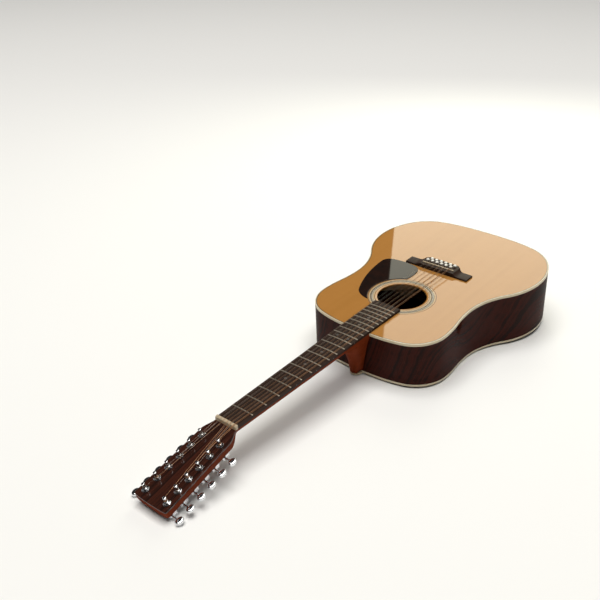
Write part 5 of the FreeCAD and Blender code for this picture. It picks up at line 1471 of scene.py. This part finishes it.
@dataclass(frozen=True)
class Tuners:
    """Twelve geared tuning machines, in millimetres; each is drawn for the treble side."""

    thickness: float = 15.5
    inner: float = 8.0
    outer: float = 9.5
    before: float = 6.2
    beyond: float = 10.8
    depth: float = 7.7
    cover: float = 1.8
    worm_offset: float = 5.85
    worm_z: float = -20.2
    button: Point = (12.0, 16.0, 7.0)
    button_gap: float = 8.0

    def build(self) -> None:
        """Builds the fixed pieces once for all machines, and each post and knob on its own body."""
        fixed = {"tuner_housings": (self.housing(), [CHROME]), "tuner_covers": (self.cover_plate(), [CHROME]),
                 "tuner_bushings": (self.bushing(), [CHROME]), "tuner_screws": (self.screw(), [CHROME, HOLE_SHADE])}
        strings = sorted(STRINGS.table(), key=lambda string: string.machine.number)
        for node, (shape, finishes) in fixed.items():
            sketch = Sketch()
            for string in strings:
                sketch.moved(shape, self.seat(string.machine))
            sketch.piece(node + "_skin", finishes, BENCH.head(), stands_for=[node])
        for string in strings:
            self.post(string)
            self.knob(string.machine)

    @staticmethod
    def seat(machine: Machine) -> Matrix:
        """Returns where a machine sits on the head's face, mirrored for the bass side."""
        side = machine.side.value
        return (Matrix.Translation((side * machine.half_spread, machine.along, 0.0))
                @ Matrix.Diagonal((side, 1.0, 1.0, 1.0)))

    def block_between(self, low: float, high: float, inset: float, soft: float) -> Sketch:
        """Returns the housing's plan as a block between two depths."""
        size = (self.inner + self.outer - 2 * inset, self.before + self.beyond - 2 * inset, high - low)
        centre = ((self.outer - self.inner) / 2, (self.beyond - self.before) / 2, (low + high) / 2)
        return block(size, soft, centre)

    def housing(self) -> Sketch:
        """The cast shell, its shaft collar and the ear for its screw."""
        shell = self.block_between(-self.thickness - self.depth, -self.thickness, 0.0, 2.0)
        shell.moved(block((8.0, 7.0, 2.5), 1.6, (0.0, -self.before - 2.5, -self.thickness - 1.25)),
                    Matrix.Identity(4))
        return shell

    def cover_plate(self) -> Sketch:
        """The domed cover over the gear."""
        low = -self.thickness - self.depth
        return self.block_between(low - self.cover, low, 0.05, 1.9)

    def bushing(self) -> Sketch:
        """Washer, hexagon with a chamfer, and sleeve."""
        sketch = Sketch()
        sketch.lathe([(4.25, 0.0), (6.3, 0.0), (6.5, 0.15), (6.5, 0.8), (6.25, 1.0), (4.25, 1.0)], 40)
        radius = 10.0 / math.sqrt(3.0)
        rings = []
        for height, share in ((1.0, 0.97), (1.12, 1.0), (2.65, 1.0), (3.0, 0.93)):
            rings.append([(radius * share * math.cos(math.radians(60 * k)), radius * share * math.sin(math.radians(60 * k)),
                           height) for k in range(6)])
        bore = [[(3.05 * math.cos(math.radians(60 * k)), 3.05 * math.sin(math.radians(60 * k)), height)
                 for k in range(6)] for height in (3.0, 1.0)]
        sketch.loft(rings + bore, around=True)
        return sketch

    def screw(self) -> Sketch:
        """The screw of the ear, seen from the back of the head."""
        sketch = Sketch()
        foot = Matrix.Translation((0.0, -self.before - 3.0, -self.thickness - 2.5))
        sketch.moved(screw_head(2.2, 1.5, 0.6), foot @ Matrix.Rotation(math.pi, 4, "X"))
        return sketch

    def post(self, string: StringPath) -> None:
        """One post with its crown, its eye shown as a plug of painted shade, and the coil of its string."""
        machine = string.machine
        sketch = Sketch()
        sketch.lathe([(0.0, -18.7), (3.0, -18.7), (3.0, 3.7), (2.5, 4.0), (2.5, 11.6), (2.8, 11.95), (3.0, 12.2),
                      (3.0, 14.4), (2.88, 14.95), (2.55, 15.28), (2.1, 15.4), (0.0, 15.4)], 32)
        radius = string.radius
        turns = min(6.0, (2.0 - 2 * radius) / (2 * radius) + 1.0)
        rise = (2.0 - 2 * radius) / max(turns, 1.0)
        reach = 2.5 + radius
        coil = Sketch()
        coil.tube([Vector((reach * math.cos(math.tau * t), reach * math.sin(math.tau * t),
                           machine.coil_low + radius + rise * t)) for t in spread(0.0, turns, round(28 * turns))],
                  radius, 8)
        sketch.moved(coil, slot=1)
        # the eye is not cut: a dark plug through the post is painted shade standing for the hole
        eye = Sketch()
        eye.lathe([(0.0, -2.62), (0.75, -2.62), (0.75, 2.62), (0.0, 2.62)], 14)
        eye.face_slots = [2] * len(eye.faces)
        sketch.moved(eye, Matrix.Translation((0.0, 0.0, 11.0)) @ Matrix.Rotation(math.pi / 2, 4, "Y"))
        node = "string_post_%02d" % machine.number
        sketch.piece(node + "_skin", [CHROME, STRINGS.finish(radius), HOLE_SHADE], machine.place(), node, [node])

    def knob(self, machine: Machine) -> None:
        """One shaft with its oval button and the button's screw, whose slot is a bar of painted shade."""
        side = machine.side.value
        along = machine.along + self.worm_offset
        edge = (66.0 + (76.0 - 66.0) * along / 181.0) / 2
        start = edge - machine.half_spread + self.button_gap
        sketch = Sketch()
        sketch.lathe([(0.0, 6.9), (2.0, 6.9), (2.0, self.outer + 0.1), (2.7, self.outer + 0.1), (2.9, self.outer + 0.4),
                      (2.9, self.outer + 1.0), (2.6, self.outer + 1.3), (2.0, self.outer + 1.6), (2.0, start - 2.2),
                      (2.9, start - 0.9), (3.1, start + 0.3), (2.0, start + 1.5), (0.0, start + 1.5)], 28)
        sketch.moved(self.pillow(start))
        head = screw_head(1.9, 0.9, 0.5)
        sketch.moved(head, Matrix.Translation((0.0, 0.0, start + self.button[0] - 0.15)))
        turned = Sketch()
        turned.moved(sketch, Matrix.Translation((0.0, self.worm_offset, self.worm_z))
                     @ Matrix.Diagonal((side, 1.0, 1.0, 1.0)) @ Matrix.Rotation(math.pi / 2, 4, "Y"))
        node = "tuning_knob_%02d" % machine.number
        turned.piece(node + "_skin", [CHROME, HOLE_SHADE], machine.place(), node, [node])

    def pillow(self, start: float) -> Sketch:
        """The oval button: flat faces, round rim; its stem axis is z, its width lies along y."""
        long_side, wide, thick = self.button
        sketch = Sketch()
        rings = []
        for level in spread(-90.0, 90.0, 17):
            a = math.radians(level)
            x = 0.5 * thick * math.copysign(abs(math.sin(a)) ** 0.55, math.sin(a))
            share = max(abs(math.cos(a)) ** 0.45, 0.02)
            shrink = 0.5 * thick * 0.9 * (1.0 - share)
            ring = []
            for k in range(40):
                turn = math.tau * k / 40
                ring.append((x, (0.5 * wide - shrink) * share ** 0.3 * math.cos(turn),
                             start + 0.5 * long_side + (0.5 * long_side - shrink) * share ** 0.3 * math.sin(turn)))
            rings.append(ring)
        sketch.loft(rings)
        return sketch


# ---------------------------------------------------------------- the studio

@dataclass(frozen=True)
class Studio:
    """Floor, light and camera, in bench millimetres; floor_half is in metres.

    The world's light falls from wall_light to ceiling_light between the two heights of dusk.
    """

    eye: Point = (-840.8, 1612.3, 904.8)
    forward: Point = (0.570241, -0.639685, -0.515391)
    right: Point = (-0.763006, -0.644908, -0.043770)
    lens: float = 51.1
    floor_half: float = 7.0
    floor_tone: tuple = (0.86, 0.86, 0.86, 1.0)
    mirror_line: tuple[Flat, Flat] = ((195.0, 100.0), (-55.0, 497.0))
    key_reach: float = 1900.0
    key_size: Flat = (950.0, 1200.0)
    key_drop: float = 120.0
    key_watts: float = 11.2
    key_tint: Point = (1.0, 1.0, 0.82)
    overhead_height: float = 9000.0
    overhead_y: float = 400.0
    overhead_size: Flat = (8000.0, 8000.0)
    overhead_watts: float = 1050.0
    overhead_tint: Point = (1.0, 0.98, 0.93)
    wall_light: float = 0.5
    ceiling_light: float = 0.04
    dusk: Flat = (0.1, 0.3)
    sensor_width: float = 36.0

    def build(self) -> None:
        """Sets the studio up."""
        self.floor()
        self.lights()
        self.camera()

    def floor(self) -> None:
        """A plain pale floor."""
        half = self.floor_half
        mesh = bpy.data.meshes.new("floor")
        mesh.from_pydata([(-half, -half, 0.0), (half, -half, 0.0), (half, half, 0.0), (-half, half, 0.0)], [],
                         [(0, 1, 2, 3)])
        made = bpy.data.materials.new("floor_paint")
        made.use_nodes = True
        bsdf = made.node_tree.nodes["Principled BSDF"]
        bsdf.inputs["Base Color"].default_value = self.floor_tone
        bsdf.inputs["Roughness"].default_value = 0.9
        bsdf.inputs["Specular IOR Level"].default_value = 0.1
        mesh.materials.append(made)
        floor = bpy.data.objects.new("floor", mesh)
        bpy.context.scene.collection.objects.link(floor)

    def reflected(self, x: float, y: float, reach: float) -> Vector:
        """Returns the point that the eye sees mirrored in the soundboard at (x, y)."""
        spot = Vector((x, y, 0.0))
        ray = (spot - Vector(self.eye)).normalized()
        return spot + Vector((ray.x, ray.y, -ray.z)) * reach

    def panel(self, name: str, middle: Vector, aim: Vector, along: Vector, size: Flat, power: float,
              tint: Point) -> None:
        """A soft box.

        Args:
            name: the light's name.
            middle: its middle.
            aim: the point that it faces.
            along: the direction of its first side.
            size: its two sides in millimetres.
            power: watts.
            tint: colour of its light.
        """
        light = bpy.data.lights.new(name, "AREA")
        light.shape = "RECTANGLE"
        light.size, light.size_y = size[0] * MM, size[1] * MM
        light.energy = power
        light.color = tint
        back = (middle - aim).normalized()
        first = (along - back * along.dot(back)).normalized()
        second = back.cross(first)
        made = bpy.data.objects.new(name, light)
        bpy.context.scene.collection.objects.link(made)
        turn = Matrix((first, second, back)).transposed().to_4x4()
        made.matrix_world = BENCH.matrix() @ Matrix.Translation(middle * MM) @ turn

    def lights(self) -> None:
        """A large overhead box, and a key box that the top mirrors with a sharp edge."""
        spots = [Vector((x, y, 0.0)) for x, y in self.mirror_line]
        ends = [self.reflected(spot.x, spot.y, self.key_reach) for spot in spots]
        aim, middle = (spots[0] + spots[1]) / 2, (ends[0] + ends[1]) / 2
        edge = (ends[0] - ends[1]).normalized()
        outward = edge.cross(middle - aim).normalized()
        wide, tall = self.key_size
        self.panel("key_box", middle + outward * (wide / 2) - edge * self.key_drop, aim + outward * (wide / 2),
                   outward, (wide, tall), self.key_watts, self.key_tint)
        above = Vector((0.0, self.overhead_y, self.overhead_height))
        self.panel("overhead_box", above, above - Vector((0.0, 0.0, 1.0)), Vector((1.0, 0.0, 0.0)),
                   self.overhead_size, self.overhead_watts, self.overhead_tint)
        world = bpy.data.worlds.new("studio_air")
        world.use_nodes = True
        shade = Shade(world.node_tree)
        height = shade.add("SeparateXYZ", 2, Vector=shade.add("TexCoord", "Generated"))
        strength = shade.between(height, *self.dusk, self.wall_light, self.ceiling_light)
        glow = shade.add("Background", Strength=strength)
        out = world.node_tree.nodes.new("ShaderNodeOutputWorld")
        world.node_tree.links.new(glow, out.inputs["Surface"])
        bpy.context.scene.world = world
        bpy.context.scene.view_settings.view_transform = "Standard"

    def camera(self) -> None:
        """The camera at the photograph's angle."""
        forward, right = Vector(self.forward), Vector(self.right)
        up = right.cross(forward)
        data = bpy.data.cameras.new("camera")
        data.lens = self.lens
        data.sensor_width = self.sensor_width
        data.dof.use_dof = False
        made = bpy.data.objects.new("camera", data)
        bpy.context.scene.collection.objects.link(made)
        turn = Matrix((right, up, -forward)).transposed().to_4x4()
        made.matrix_world = BENCH.matrix() @ Matrix.Translation(Vector(self.eye) * MM) @ turn
        bpy.context.scene.camera = made


def main() -> None:
    """Builds the guitar and its studio."""
    logging.basicConfig(level=logging.INFO, format="%(name)s %(message)s")
    for group in (Body(), Bridge(), Neck(), STRINGS, Tuners()):
        group.build()
        LOG.info("%s done", type(group).__name__)
    Studio().build()


if __name__ == "__main__":
    main()
